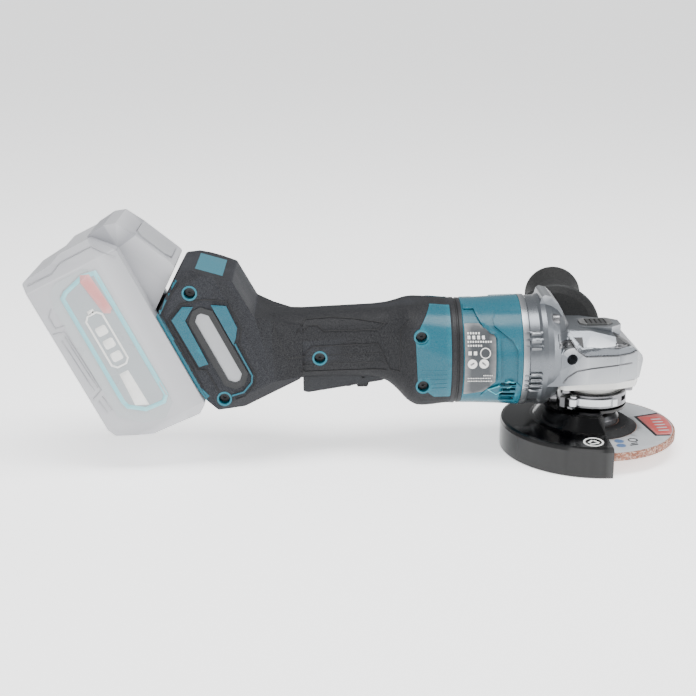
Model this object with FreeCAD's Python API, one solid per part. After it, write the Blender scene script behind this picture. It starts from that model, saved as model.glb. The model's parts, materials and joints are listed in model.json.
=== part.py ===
import FreeCAD
import Part
import math
import os

# Cordless angle grinder for 125 mm wheels, with a paddle switch and a slide-on battery.
# The origin is on the spindle axis, in the plane where the wheel's hub seats.
# +X runs forward over the gear head, +Y to the side handle, +Z up from the wheel.

V = FreeCAD.Vector

# ---- driving dimensions, in millimetres and degrees ----

# drive line
motor_axis_z = 56.0         # height of the motor axis above the wheel seat
pinion_tip_x = -11.0        # where the pinion's small end stops short of the spindle
gear_teeth = 37
pinion_teeth = 11
gear_radius = 20.5          # bevel gear, outer end of the teeth
gear_gap = 0.3              # between the two tooth cones
tooth_slot_depth = 1.1
shaft_radius = 5.0          # rotor shaft
running_fit = 0.05          # radial clearance of a shaft in its bearing
seat_fit = 0.02             # radial clearance of a bearing in its seat

# spindle and wheel
spindle_radius = 7.5
thread_radius = 7.0         # M14 spindle thread
thread_length = 18.0
spindle_top_radius = 4.0
bush_radius = 7.0           # upper spindle bush
wheel_diameter = 125.0
wheel_bore = 22.23
wheel_thickness = 6.0
hub_offset = 4.25           # the depressed centre stands this far above the rim
hub_radius = 28.0
flange_radius = 20.5
flange_height = 7.0
nut_radius = 19.0
nut_height = 7.5
label_thickness = 0.4
label_hub_gap = 7.0
label_rim_gap = 1.6

# gear head
collar_radius = 40.8        # where the head meets the motor housing
collar_back_x = -58.2
collar_front_x = -44.0
head_front_x = 34.4
head_half_width = 34.9
head_floor_z = 38.0
head_top_z = 75.0
side_hole_radius = 4.0      # M8 thread for the side handle, both sides
side_hole_depth = 14.0
side_hole_x = -22.5
side_hole_z = 57.8
side_boss_lean = 8.5        # the side walls taper forward, so the handle leans by this angle

# bearing box under the head
box_neck_radius = 20.0
box_flange_thickness = 5.0
box_bottom_z = 17.0
bearing_outer_radius = 17.5
bearing_width = 11.0

# guard
guard_radius = 68.1
guard_skirt_low = -21.0
guard_rim_z = 1.7
guard_wall = 2.0
guard_start_angle = 93.0
guard_span = 180.0
band_height = 9.0
band_thickness = 2.6
band_clearance = 0.3
guard_collar_wall = 2.4
lever_gap = 0.5

# worked out from the sizes above
band_inner = box_neck_radius + band_clearance + guard_collar_wall
lever_inner = band_inner + band_thickness + lever_gap

# spindle lock
lock_length = 24.0
lock_width = 16.0
lock_pin_radius = 2.2
lock_pin_x = 9.8
slide_gap = 0.35            # clearance round a sliding piece

# motor
motor_housing_back_x = -101.0
motor_back_radius = 39.0
motor_wall = 2.8
stator_radius = 33.5
stator_bore = 15.2
stator_back_x = -94.0
stator_front_x = -70.0
rotor_radius = 14.6
magnet_thickness = 2.4
fan_radius = 30.0
fan_front_x = -49.5
fan_length = 9.0
fan_blades = 11
ring_back_x = -109.0        # dark ring between the motor housing and the handle

# handle and battery base
shell_wall = 2.6
grip_half_width = 23.5
base_half_width = 36.0
rail_mid_x = -304.7         # middle of the battery rail, on the rear face of the base
rail_mid_z = 67.1
rail_lean = 26.5            # the rail leans this far back from upright
screw_ring_radius = 5.4
screw_ring_wall = 1.3
screw_seat_depth = 7.0      # from the shell's surface down to the underside of a handle screw's head
screw_head_radius = 3.4
screw_head_height = 2.2
screw_shank_radius = 1.8
screw_end_y = 8.0

# paddle switch
paddle_pivot_x = -156.0
paddle_pivot_z = 43.5
paddle_rear_x = -216.0
paddle_half_width = 12.5
paddle_wall = 2.0
paddle_pin_radius = 2.0
lock_off_x = -172.0
lock_off_z = 40.5
lock_off_stub = 1.5
plunger_x = -186.0
plunger_radius = 3.0

# battery
battery_half_width = 38.5
battery_depth = 71.7        # from the rail face to the outer face
battery_low = -47.0         # lower end, along the rail
battery_high = 100.0        # upper end
battery_wall = 2.4
split_n = 16.0              # the battery's cover and case meet this far behind the rail face
battery_gap = 0.4           # between the battery and the base
cell_radius = 10.6
cell_length = 70.0
rail_half_width = 26.0
rail_neck_half_width = 22.0
rail_height = 9.0
rail_lip = 4.5

# side handle
handle_flange_radius = 34.0
handle_flange_y = 51.2
handle_end_y = 155.9
handle_end_radius = 23.3
handle_grip_radius = 17.5

# ---- frames for drawing outlines ----

rail_s = V(-math.sin(math.radians(rail_lean)), 0, math.cos(math.radians(rail_lean)))
rail_n = V(-math.cos(math.radians(rail_lean)), 0, -math.sin(math.radians(rail_lean)))
rail_origin = V(rail_mid_x, 0, rail_mid_z)

SIDE = (V(0, 0, 0), V(1, 0, 0), V(0, 0, 1), V(0, 1, 0))
PLAN = (V(0, 0, 0), V(1, 0, 0), V(0, 1, 0), V(0, 0, 1))
FRONT = (V(0, 0, 0), V(0, 1, 0), V(0, 0, 1), V(1, 0, 0))
RAIL = (rail_origin, rail_s, rail_n, V(0, 1, 0))
RAIL_PLAN = (rail_origin, rail_n, V(0, 1, 0), rail_s)
RAIL_END = (rail_origin, rail_s, V(0, 1, 0), rail_n)


def place(frame, u, v, w):
    origin, along_u, along_v, along_w = frame
    return origin + along_u * u + along_v * v + along_w * w


# ---- basic shapes ----

def block(x0, x1, y0, y1, z0, z1):
    return Part.makeBox(x1 - x0, y1 - y0, z1 - z0, V(x0, y0, z0))


def rod(radius, start, end):
    return Part.makeCylinder(radius, (end - start).Length, start, end - start)


def tube(outer, inner, start, end):
    return rod(outer, start, end).cut(rod(inner, start, end))


def along_x(radius, x0, x1):
    return rod(radius, V(x0, 0, motor_axis_z), V(x1, 0, motor_axis_z))


def along_z(radius, z0, z1, x=0.0, y=0.0):
    return rod(radius, V(x, y, z0), V(x, y, z1))


def outline(points, radius=0.0):
    # closed wire through the points, with every corner rounded to the radius
    count = len(points)
    if radius <= 0:
        return Part.makePolygon(points + [points[0]])
    edges = []
    ends = []
    for i in range(count):
        before = points[i - 1]
        corner = points[i]
        after = points[(i + 1) % count]
        back = (before - corner).normalize()
        ahead = (after - corner).normalize()
        half = back.getAngle(ahead) / 2
        reach = radius / math.tan(half)
        room = 0.49 * min((before - corner).Length, (after - corner).Length)
        reach = min(reach, room)
        rounding = reach * math.tan(half)
        middle = corner + (back + ahead).normalize() * (rounding / math.sin(half) - rounding)
        ends.append((corner + back * reach, middle, corner + ahead * reach))
    for i in range(count):
        start, middle, end = ends[i]
        edges.append(Part.Arc(start, middle, end).toShape())
        edges.append(Part.makeLine(end, ends[(i + 1) % count][0]))
    return Part.Wire(edges)


def prism(points, frame, low, high, radius=0.0):
    # outline in the frame's first two directions, stretched from low to high along its third
    corners = [place(frame, u, v, low) for u, v in points]
    face = Part.Face(outline(corners, radius))
    return face.extrude(frame[3] * (high - low))


def mirrored(points):
    # one half of an outline, given at positive v, closed by its mirror image
    return points + [(u, -v) for u, v in reversed(points)]


def turned_x(points):
    # solid of revolution about the motor axis; points are (x, radius)
    corners = [V(x, 0, motor_axis_z + r) for x, r in points]
    face = Part.Face(Part.makePolygon(corners + [corners[0]]))
    return face.revolve(V(0, 0, motor_axis_z), V(1, 0, 0), 360)


def turned_z(points, angle=360.0, start=0.0):
    # solid of revolution about the spindle axis; points are (radius, z)
    corners = [V(r, 0, z) for r, z in points]
    face = Part.Face(Part.makePolygon(corners + [corners[0]]))
    face.rotate(V(0, 0, 0), V(0, 0, 1), start)
    return face.revolve(V(0, 0, 0), V(0, 0, 1), angle)


def rounded_section(x, half_width, low, high, radius, inset):
    w = half_width - inset
    z0 = low + inset
    z1 = high - inset
    r = max(radius - inset, 1.0)
    corners = [V(x, -w, z0), V(x, w, z0), V(x, w, z1), V(x, -w, z1)]
    return outline(corners, min(r, w - 0.5, (z1 - z0) / 2 - 0.5))


def fused(shapes):
    result = shapes[0]
    for shape in shapes[1:]:
        result = result.fuse(shape)
    return result.removeSplitter()


def group(shapes):
    return Part.makeCompound(shapes)


def spun(shape, count, centre, axis, first=0.0):
    copies = []
    for i in range(count):
        copy = shape.copy()
        copy.rotate(centre, axis, first + i * 360.0 / count)
        copies.append(copy)
    return copies


def side_axis(side):
    # the line of the side-handle thread: side is -1 for the near wall and +1 for the far wall
    lean = math.radians(side_boss_lean)
    direction = V(math.sin(lean), side * math.cos(lean), 0)
    mouth = V(side_hole_x, side * head_half_width, side_hole_z)
    return mouth, direction


parts = {}


def keep(name, shape):
    parts[name] = shape


# ---- gear head ----

def head_outside():
    side = [(-42, head_floor_z), (31, head_floor_z), (head_front_x, 50), (33, 54), (25, 62.5),
            (12, 71), (-8, head_top_z), (-42, head_top_z + 2)]
    lean = math.tan(math.radians(side_boss_lean))
    back = head_half_width + (side_hole_x + 42) * lean
    front = head_half_width + (side_hole_x + 10) * lean
    plan = mirrored([(-42, back), (-10, front), (12, 30.5), (28, 21), (head_front_x, 12)])
    section = [(-38, head_floor_z), (38, head_floor_z), (38, 60), (21, head_top_z), (12, 80),
               (-12, 80), (-21, head_top_z), (-38, 60)]
    body = prism(side, SIDE, -40, 40)
    body = body.common(prism(plan, PLAN, head_floor_z, 90, 3.0))
    return body.common(prism(section, FRONT, -44, 40, 2.0))


def head_shoulder():
    r = collar_radius
    solid = turned_x([(collar_back_x, 0), (collar_back_x, r), (-54, r), (-53, r - 0.9), (-46, r - 0.9),
                      (collar_front_x, r + 0.4), (-40.5, r + 0.2), (-36, r - 1.2), (-31, r - 4.0),
                      (-25.5, 30), (-20, 20), (-20, 0)])
    nub = prism([(-44, 94), (-42.5, 99.2), (-40.5, 100.6), (-35.5, 99.4), (-31, 95.0), (-27, 88), (-27, 80),
                 (-44, 80)], SIDE, -15, 15, 1.0)
    solid = solid.fuse(nub)
    under = prism([(-40, 5), (-40, 15.5), (-31.2, head_floor_z - box_flange_thickness), (-31.2,
                                        head_floor_z),
                   (60, head_floor_z), (60, 5)], SIDE, -60, 60)
    return solid.cut(under)


def head_bosses():
    bosses = []
    for side in (-1, 1):
        mouth, direction = side_axis(side)
        bosses.append(rod(8.5, mouth - direction * 16, mouth))
    return bosses


def collar_ribs():
    ribs = []
    rib_rows = [66.5, 71.5, 76.5, 34.0, 38.5, 43.0, 47.5]
    for side in (-1, 1):
        for z in rib_rows:
            reach = math.sqrt(collar_radius ** 2 - (z - motor_axis_z) ** 2)
            ribs.append(block(-52.5, -45.5, side * reach - 1.5, side * reach + 1.5, z, z + 2.0)
                        .common(along_x(collar_radius + 0.8, -53, -45)))
    return ribs


def lock_surround():
    ring_plan = mirrored([(-18, 6), (-10, 13), (10, 13), (18, 6)])
    return prism(ring_plan, PLAN, 66, head_top_z + 0.5, 1.5)


def lock_oval(grow):
    plan = mirrored([(-lock_length / 2 - grow, 4.5), (-lock_length / 2 + 4 - grow, lock_width / 2 + grow),
                     (lock_length / 2 - 4 + grow, lock_width / 2 + grow), (lock_length / 2 + grow, 4.5)])
    return plan


def gear_housing():
    solid = fused([head_outside(), head_shoulder(), lock_surround()] + head_bosses() + collar_ribs())
    gear_room = along_z(gear_radius + 3.0, head_floor_z - 1, 57.5)
    motor_room = turned_x([(collar_back_x - 1, 0), (collar_back_x - 1, 33), (-48, 31), (-46.5, 13.02),
                           (-38, 13.02), (-38, 8.5), (-5, 8.5), (-5, 0)])
    bush_hole = along_z(bush_radius + seat_fit, 57, 68)
    pin_hole = along_z(lock_pin_radius + slide_gap, 50, 72, lock_pin_x)
    button_pocket = prism(lock_oval(slide_gap), PLAN, 67.5, 90, 2.0)
    for cut in (gear_room, motor_room, bush_hole, pin_hole, button_pocket):
        solid = solid.cut(cut)
    for side in (-1, 1):
        mouth, direction = side_axis(side)
        solid = solid.cut(rod(side_hole_radius, mouth - direction * side_hole_depth, mouth + direction * 5))
    for panel in head_panel_solids():
        solid = solid.cut(panel)
    for screw in head_screw_solids():
        solid = solid.cut(screw)
    for screw in box_screw_solids():
        solid = solid.cut(screw)
    return solid


def head_panel_solids():
    # dark plastic panels let into the sloping upper sides of the head
    panels = []
    skin = head_outside()
    for side in (-1, 1):
        for x0, x1 in ((-32, -14), (10, 24)):
            region = block(x0, x1, min(side * 12, side * 38), max(side * 12, side * 38), 64.6, 71.5)
            deep = skin.copy()
            deep.translate(V(0, -side * 1.6, -1.0))
            panels.append(region.common(skin).cut(deep))
    return panels


def head_screw_solids():
    # four long screws join the head to the motor housing
    screws = []
    for side in (-1, 1):
        for z in (84.5, 26.5):
            y = side * 23.5
            screws.append(rod(2.4, V(-64, y, z), V(-36, y, z)).fuse(rod(4.0, V(-36, y, z), V(-31.5, y, z))))
    return screws


def cut_hex(shape, centre, axis, width, depth):
    # hexagonal drive recess in the end of a screw head
    side = axis.cross(V(0, 0, 1))
    if side.Length < 0.1:
        side = V(1, 0, 0)
    side = side.normalize()
    up = axis.cross(side).normalize()
    points = []
    for i in range(6):
        a = math.radians(60 * i)
        points.append(centre + side * (width / 1.732 * math.cos(a)) + up * (width / 1.732 * math.sin(a)))
    face = Part.Face(Part.makePolygon(points + [points[0]]))
    return shape.cut(face.extrude(axis * -depth))


def head_screws():
    screws = []
    for screw in head_screw_solids():
        end = V(-31.5, screw.BoundBox.Center.y, screw.BoundBox.Center.z)
        screws.append(cut_hex(screw, end, V(1, 0, 0), 3.6, 2.4))
    return group(screws)


# ---- bearing box ----

box_screw_places = [(-24.5, -24.0), (-24.5, 24.0), (22.0, -20.0), (22.0, 20.0)]


def box_screw_solids():
    screws = []
    for x, y in box_screw_places:
        screws.append(along_z(1.9, head_floor_z - 3, head_floor_z + 9, x, y)
                      .fuse(along_z(3.6, head_floor_z - box_flange_thickness - 3.2,
                                    head_floor_z - box_flange_thickness, x, y))
                      .fuse(along_z(1.9, head_floor_z - box_flange_thickness, head_floor_z, x, y)))
    return screws


def bearing_box():
    plan = mirrored([(-31, 26), (-26, 31), (12, 29.5), (26, 24), (31, 12)])
    z1 = head_floor_z
    z0 = head_floor_z - box_flange_thickness
    solid = prism(plan, PLAN, z0, z1, 3.0)
    solid = solid.fuse(turned_z([(0, box_bottom_z), (box_neck_radius, box_bottom_z),
                                 (box_neck_radius, z0 - 2), (box_neck_radius + 3, z0), (0, z0)]))
    solid = solid.cut(along_z(bearing_outer_radius + seat_fit, z1 - bearing_width - 1, z1 + 1))
    solid = solid.cut(along_z(spindle_radius + 2.5, box_bottom_z - 1, z1))
    for screw in box_screw_solids():
        solid = solid.cut(screw)
    return solid.removeSplitter()


def box_screws():
    screws = []
    for (x, y), screw in zip(box_screw_places, box_screw_solids()):
        foot = V(x, y, head_floor_z - box_flange_thickness - 3.2)
        screws.append(cut_hex(screw, foot, V(0, 0, -1), 3.2, 2.0))
    return group(screws)


# ---- ball bearings ----

def ball_bearing(start, end, bore, outer):
    # inner and outer rings with a ring of balls between them
    axis = (end - start).normalize()
    length = (end - start).Length
    middle = (start + end) * 0.5
    pitch = (bore + outer) / 2
    ball = (outer - bore) * 0.26
    inner_ring = tube(bore + (outer - bore) * 0.28, bore, start, end)
    outer_ring = tube(outer, outer - (outer - bore) * 0.28, start, end)
    radial = axis.cross(V(0, 1, 0)).normalize()
    seal = tube(outer - (outer - bore) * 0.28, bore + (outer - bore) * 0.28,
                middle - axis * (length * 0.32), middle + axis * (length * 0.32))
    groove = Part.makeSphere(ball, middle + radial * pitch)
    return fused([inner_ring, outer_ring, seal]).fuse(groove).removeSplitter()


def spindle_bearings():
    lower = ball_bearing(V(0, 0, head_floor_z - bearing_width), V(0, 0, head_floor_z),
                         spindle_radius + running_fit, bearing_outer_radius)
    bush = tube(bush_radius, spindle_top_radius + running_fit, V(0, 0, 59), V(0, 0, 67.9))
    return group([lower, bush])


def rotor_bearings():
    front = ball_bearing(V(-46.4, 0, motor_axis_z), V(-38.4, 0, motor_axis_z),
                         shaft_radius + running_fit, 13.0)
    rear = ball_bearing(V(-101, 0, motor_axis_z), V(-97.1, 0, motor_axis_z), 4.0 + running_fit, 11.0)
    return group([front, rear])


# ---- spindle body ----

def spindle():
    return turned_z([(0, -thread_length), (thread_radius - 0.8, -thread_length),
                     (thread_radius, -thread_length + 0.8), (thread_radius, 0),
                     (spindle_radius, 0), (spindle_radius, 41), (spindle_radius - 1.5, 41),
                     (spindle_radius - 1.5, 50), (spindle_top_radius, 50), (spindle_top_radius, 67),
                     (spindle_top_radius - 0.6, 67.6), (0, 67.6)])


def inner_flange():
    pilot = wheel_bore / 2 - 0.12
    return turned_z([(spindle_radius, 0.0), (spindle_radius, flange_height + 3),
                     (spindle_radius + 4, flange_height + 3), (spindle_radius + 5, flange_height),
                     (flange_radius - 2, flange_height), (flange_radius, flange_height - 3),
                     (flange_radius, 0.0), (flange_radius - 5, 0.0), (flange_radius - 5, 0.6),
                     (pilot, 0.6), (pilot, -3.0), (thread_radius, -3.0), (thread_radius, 0.0)])


def wheel():
    bore = wheel_bore / 2
    rim = wheel_diameter / 2
    t = wheel_thickness
    return turned_z([(bore, 0), (hub_radius, 0), (hub_radius + 6, -hub_offset), (rim - 0.8, -hub_offset),
                     (rim, -hub_offset - 0.8), (rim, -hub_offset - t + 0.8), (rim - 0.8, -hub_offset - t),
                     (hub_radius + 4, -hub_offset - t), (hub_radius - 2, -t), (bore, -t)])


def wheel_label():
    z = -hub_offset
    inner = hub_radius + label_hub_gap
    outer = wheel_diameter / 2 - label_rim_gap
    return turned_z([(inner, z), (outer, z), (outer, z + label_thickness), (inner, z + label_thickness)])


def lock_nut():
    top = -wheel_thickness
    solid = turned_z([(thread_radius, top), (nut_radius, top), (nut_radius, top - 3.5),
                      (nut_radius - 2.5, top - nut_height), (thread_radius, top - nut_height)])
    for hole in spun(along_z(2.4, top - nut_height - 1, top - 3.0, nut_radius - 5.0), 4, V(0, 0, 0),
                     V(0, 0, 1)):
        solid = solid.cut(hole)
    return solid


def tooth_cone_z(radius):
    # height of the bevel tooth face at a distance from the spindle
    return motor_axis_z - radius * pinion_teeth / gear_teeth - gear_gap / 2


def bevel_gear():
    inner = 11.0
    solid = turned_z([(spindle_radius, 41.5), (gear_radius - 2, 41.5), (gear_radius, 45),
                      (gear_radius, tooth_cone_z(gear_radius)), (inner, tooth_cone_z(inner)),
                      (inner, 50), (spindle_radius - 1.5, 50), (spindle_radius - 1.5, 41.5)])
    depth = tooth_slot_depth
    slope = math.degrees(math.atan2(pinion_teeth, gear_teeth))
    slot = block(inner - 1, gear_radius + 2, -0.75, 0.75, -depth, 3)
    slot.rotate(V(0, 0, 0), V(0, 1, 0), slope)
    slot.translate(V(0, 0, motor_axis_z - gear_gap / 2))
    for cut in spun(slot, gear_teeth, V(0, 0, 0), V(0, 0, 1), 180.0 / gear_teeth):
        solid = solid.cut(cut)
    for cut in spun(along_z(lock_pin_radius + slide_gap, 44, 60, lock_pin_x), 4, V(0, 0, 0), V(0, 0, 1)):
        solid = solid.cut(cut)
    return solid


# ---- rotor body ----

def pinion():
    ratio = pinion_teeth / gear_teeth
    outer_x = -gear_radius
    gap = gear_gap / 2
    solid = turned_x([(outer_x - 4, shaft_radius), (outer_x - 4, gear_radius * ratio + 1.2),
                      (outer_x, gear_radius * ratio - gap), (pinion_tip_x, -pinion_tip_x * ratio - gap),
                      (pinion_tip_x, 0), (pinion_tip_x - 4.0, 0), (pinion_tip_x - 4.0, 2.0),
                      (outer_x - 1.0, 2.0), (outer_x - 1.0, shaft_radius)])
    slope = math.degrees(math.atan(ratio))
    slot = block(outer_x - 2, pinion_tip_x + 1, -0.45, 0.45, -0.7, 4)
    slot.rotate(V(0, 0, 0), V(0, 1, 0), slope)
    slot.translate(V(0, 0, motor_axis_z - gap))
    for cut in spun(slot, pinion_teeth, V(0, 0, motor_axis_z), V(1, 0, 0)):
        solid = solid.cut(cut)
    return solid


def rotor_shaft():
    return turned_x([(pinion_tip_x - 4.2, 0), (pinion_tip_x - 4.2, 1.9), (-gear_radius - 1.1, 1.9),
                     (-gear_radius - 1.1, shaft_radius), (-97, shaft_radius), (-97, 4.0), (-109,
                                        4.0), (-109, 0)])


def rotor_core():
    return turned_x([(stator_back_x, shaft_radius), (stator_back_x, rotor_radius - magnet_thickness),
                     (stator_front_x, rotor_radius - magnet_thickness), (stator_front_x, shaft_radius)])


def rotor_magnets():
    shell = turned_x([(stator_back_x + 1, rotor_radius - magnet_thickness), (stator_back_x + 1,
                                        rotor_radius),
                      (stator_front_x - 1, rotor_radius), (stator_front_x - 1,
                                        rotor_radius - magnet_thickness)])
    slot = block(stator_back_x, stator_front_x, -0.6, 0.6, motor_axis_z, motor_axis_z + 40)
    for cut in spun(slot, 4, V(0, 0, motor_axis_z), V(1, 0, 0), 45):
        shell = shell.cut(cut)
    return shell


def fan():
    x1 = fan_front_x
    x0 = fan_front_x - fan_length
    disc = turned_x([(x0, shaft_radius), (x0, fan_radius - 6), (x0 + 1.6, fan_radius), (x0 + 3.0,
                                        fan_radius),
                     (x0 + 2.0, fan_radius - 8), (x0 + 2.0, 10), (x1, 9), (x1, shaft_radius)])
    blade = block(x0 + 1.5, x1, -0.8, 0.8, motor_axis_z + 9.5, motor_axis_z + fan_radius - 1)
    blade.rotate(V(0, 0, motor_axis_z + 9.5), V(1, 0, 0), 28)
    blades = spun(blade, fan_blades, V(0, 0, motor_axis_z), V(1, 0, 0))
    return fused([disc] + blades)


# ---- motor ----

def motor_housing():
    x0 = motor_housing_back_x
    x1 = collar_back_x
    r0 = motor_back_radius
    r1 = collar_radius
    w = motor_wall
    solid = turned_x([(x0, 11.02), (x0, r0 - 0.6), (x0 + 0.6, r0), (-90, r0 + 0.2), (-74, r0 + 0.9),
                      (x1 - 0.6, r1), (x1, r1 - 0.5), (x1, r1 - w - 1), (-68, stator_radius + 0.02),
                      (stator_back_x, stator_radius + 0.02), (stator_back_x, stator_radius - 5),
                      (x0 + 3, stator_radius - 5), (x0 + 3, 15), (x0 + 7, 15), (x0 + 7, 11.02)])
    for cut in spun(block(x0 - 1, x0 + 4, -4, 4, motor_axis_z + 18, motor_axis_z + 26), 6,
                    V(0, 0, motor_axis_z), V(1, 0, 0)):
        solid = solid.cut(cut)
    for side in (-1, 1):
        plate = name_plate(side)
        solid = solid.cut(plate)
        for z in (84.5, 26.5):
            solid = solid.cut(rod(2.42, V(-65, side * 23.5, z), V(-57, side * 23.5, z)))
        for row in range(4):
            z = 26.0 + row * 4.6
            vent = block(-74, -63, side * 38 - 14, side * 38 + 14, z, z + 2.3)
            solid = solid.cut(vent.cut(along_x(r0 - w - 2, -80, -60)))
    return solid


def name_plate(side):
    polygon = [(-100, 31.5), (-86, 34.5), (-78, 43), (-78, 77), (-90, 84), (-100, 84)]
    y0, y1 = (-60, -20) if side < 0 else (20, 60)
    region = prism(polygon, SIDE, y0, y1, 1.0)
    skin = turned_x([(-100.5, motor_back_radius - 0.8), (-100.5, motor_back_radius + 0.55),
                     (-77, motor_back_radius + 1.35), (-77, motor_back_radius - 0.4)])
    return region.common(skin)


def stator_core():
    shell = turned_x([(stator_back_x, stator_radius - 5), (stator_back_x, stator_radius),
                      (stator_front_x, stator_radius), (stator_front_x, stator_radius - 5)])
    tooth = block(stator_back_x, stator_front_x, -3.2, 3.2, motor_axis_z + stator_bore + 2,
                  motor_axis_z + stator_radius - 4)
    shoe = turned_x([(stator_back_x, stator_bore), (stator_back_x, stator_bore + 2.4),
                     (stator_front_x, stator_bore + 2.4), (stator_front_x, stator_bore)])
    gaps = spun(block(stator_back_x - 1, stator_front_x + 1, -1.4, 1.4, motor_axis_z, motor_axis_z + 19), 6,
                V(0, 0, motor_axis_z), V(1, 0, 0), 30)
    for gap in gaps:
        shoe = shoe.cut(gap)
    return fused([shell, shoe] + spun(tooth, 6, V(0, 0, motor_axis_z), V(1, 0, 0)))


def stator_windings():
    coil = block(stator_back_x - 3.4, stator_front_x + 3.4, -6.2, 6.2, motor_axis_z + 19.0,
                 motor_axis_z + 27.5)
    coil = coil.cut(block(stator_back_x - 0.5, stator_front_x + 0.5, -3.4, 3.4, motor_axis_z + 10,
                          motor_axis_z + 40))
    return group(spun(coil, 6, V(0, 0, motor_axis_z), V(1, 0, 0)))


def air_baffle():
    solid = turned_x([(-64.0, fan_radius + 0.8), (-64.0, stator_radius + 1.3), (-60.0, stator_radius + 2.6),
                      (-60.0, fan_radius + 0.8)])
    for y in (-23.5, 23.5):
        for z in (84.5, 26.5):
            solid = solid.cut(rod(2.9, V(-66, y, z), V(-58, y, z)))
    return solid


def housing_ring():
    r = motor_back_radius
    return turned_x([(ring_back_x, r - 5), (ring_back_x, r - 0.2), (ring_back_x + 1, r + 0.2),
                     (-105.5, r + 0.2), (-105.0, r - 0.7), (-104.0, r - 0.7), (-103.5, r),
                     (motor_housing_back_x, r - 0.2), (motor_housing_back_x, r - 5)])


# ---- handle and base ----

# sections of the grip from front to back: x, half width, lowest and highest z, corner radius
grip_sections = [(ring_back_x, 38.8, 17.2, 94.8, 38.0), (-121, 38.7, 17.2, 94.8, 34.0), (-133, 37.3,
                                        18.6, 94.5, 27.0),
                 (-140, 33.6, 23.0, 93.8, 22.0), (-147, 28.6, 30.0, 92.6, 20.0), (-154, 25.0, 35.6,
                                        91.4, 18.5),
                 (-164, grip_half_width, 38.8, 90.4, 17.5), (-190, grip_half_width - 0.4, 39.5, 89.4, 17.5),
                 (-216, grip_half_width, 39.0, 88.2, 17.5), (-246, grip_half_width + 2, 36.0, 88.6, 17.5)]
steps_between = 2


def eased(a, b, before, after, t):
    # smooth curve from a to b that leaves and arrives in line with its neighbours
    start = (b - before) / 2
    end = (after - a) / 2
    if (b - a) * (a - before) <= 0:
        start = 0.0
    if (b - a) * (after - b) <= 0:
        end = 0.0
    return (a * (2 * t ** 3 - 3 * t ** 2 + 1) + start * (t ** 3 - 2 * t ** 2 + t)
            + b * (3 * t ** 2 - 2 * t ** 3) + end * (t ** 3 - t ** 2))


def grip_loft(inset):
    wires = []
    last = len(grip_sections) - 1
    for i in range(last):
        steps = steps_between + 1 if i < last - 3 else 1
        for step in range(steps):
            t = step / steps
            before = grip_sections[max(i - 1, 0)]
            after = grip_sections[min(i + 2, last)]
            values = [grip_sections[i][0] + (grip_sections[i + 1][0] - grip_sections[i][0]) * t]
            for k in range(1, 5):
                values.append(eased(grip_sections[i][k], grip_sections[i + 1][k], before[k], after[k], t))
            wires.append(rounded_section(*values, inset))
    wires.append(rounded_section(*grip_sections[last], inset))
    return Part.makeLoft(wires, True, True)


def inset_outline(points, distance):
    # the same outline with every edge moved inwards
    count = len(points)
    area = sum(points[i - 1][0] * points[i][1] - points[i][0] * points[i - 1][1] for i in range(count))
    turn = math.copysign(1.0, area)
    normals = []
    for i in range(count):
        run = points[(i + 1) % count][0] - points[i][0]
        rise = points[(i + 1) % count][1] - points[i][1]
        length = math.hypot(run, rise)
        normals.append((-rise * turn / length, run * turn / length))
    moved = []
    for i in range(count):
        ax, ay = normals[i - 1]
        bx, by = normals[i]
        reach = distance / (1 + ax * bx + ay * by)
        moved.append((points[i][0] + (ax + bx) * reach, points[i][1] + (ay + by) * reach))
    return moved


def base_form(inset):
    side = [(-301.5, 126.0), (-308.4, 113.5), (-318.3, 94.4), (-290.9, 39.4), (-285.0, 31.5),
            (-276.5, 23.8), (-234.5, 23.8), (-225.0, 33.5), (-216.0, 47.0), (-216.0, 82.0),
            (-238.0, 87.6), (-250.0, 92.5), (-264.5, 118.5), (-292.0, 126.6)]
    side = inset_outline(side, inset)
    half = base_half_width - inset
    narrow = grip_half_width - 1 - inset
    body = prism(side, SIDE, -half, half, 2.5)
    plan = mirrored([(4, half), (-50, half), (-84, narrow), (-110, narrow)])
    body = body.common(prism(plan, RAIL_PLAN, -90, 110, 6.0))
    end = mirrored([(-60, half - 9), (-50, half), (42, half), (64, half - 13)])
    body = body.common(prism(end, RAIL_END, -130, 20, 4.0))
    return body


handle_screw_places = [(-294.1, 110.9), (-272.3, 32.5), (-203.5, 58.0), (-131.0, 76.3), (-129.6, 40.0)]


def handle_form(inset):
    return grip_loft(inset).fuse(base_form(inset)).removeSplitter()


def surface_y(form, x, z):
    # how far out the side of a form is, at a point in side view
    probe = Part.makeLine(V(x, 0, z), V(x, 60, z)).common(form)
    return probe.BoundBox.YMax


def paddle_outline(grow):
    return [(paddle_rear_x - grow, paddle_pivot_z + 4 + grow), (paddle_rear_x - grow, 29.4 - grow),
            (paddle_rear_x + 4, 28.6 - grow), (-158, 37.0 - grow),
            (-150.5 + grow, 41.5 - grow), (-150.5 + grow, paddle_pivot_z + 4 + grow)]


def build_handle():
    outer = handle_form(0)
    inner = handle_form(shell_wall)
    posts = []
    for x, z in handle_screw_places:
        posts.append(rod(4.6, V(x, -60, z), V(x, 60, z)))
    shell = outer.cut(inner)
    shell = shell.fuse(group(posts).common(outer)).removeSplitter()
    room = prism(paddle_outline(1.2), SIDE, -paddle_half_width - 0.6, paddle_half_width + 0.6)
    shell = shell.cut(room)
    shell = shell.cut(rod(paddle_pin_radius, V(paddle_pivot_x, -18, paddle_pivot_z),
                          V(paddle_pivot_x, 18, paddle_pivot_z)))
    shell = shell.cut(rail_foot(0.0))
    return outer, shell


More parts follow.
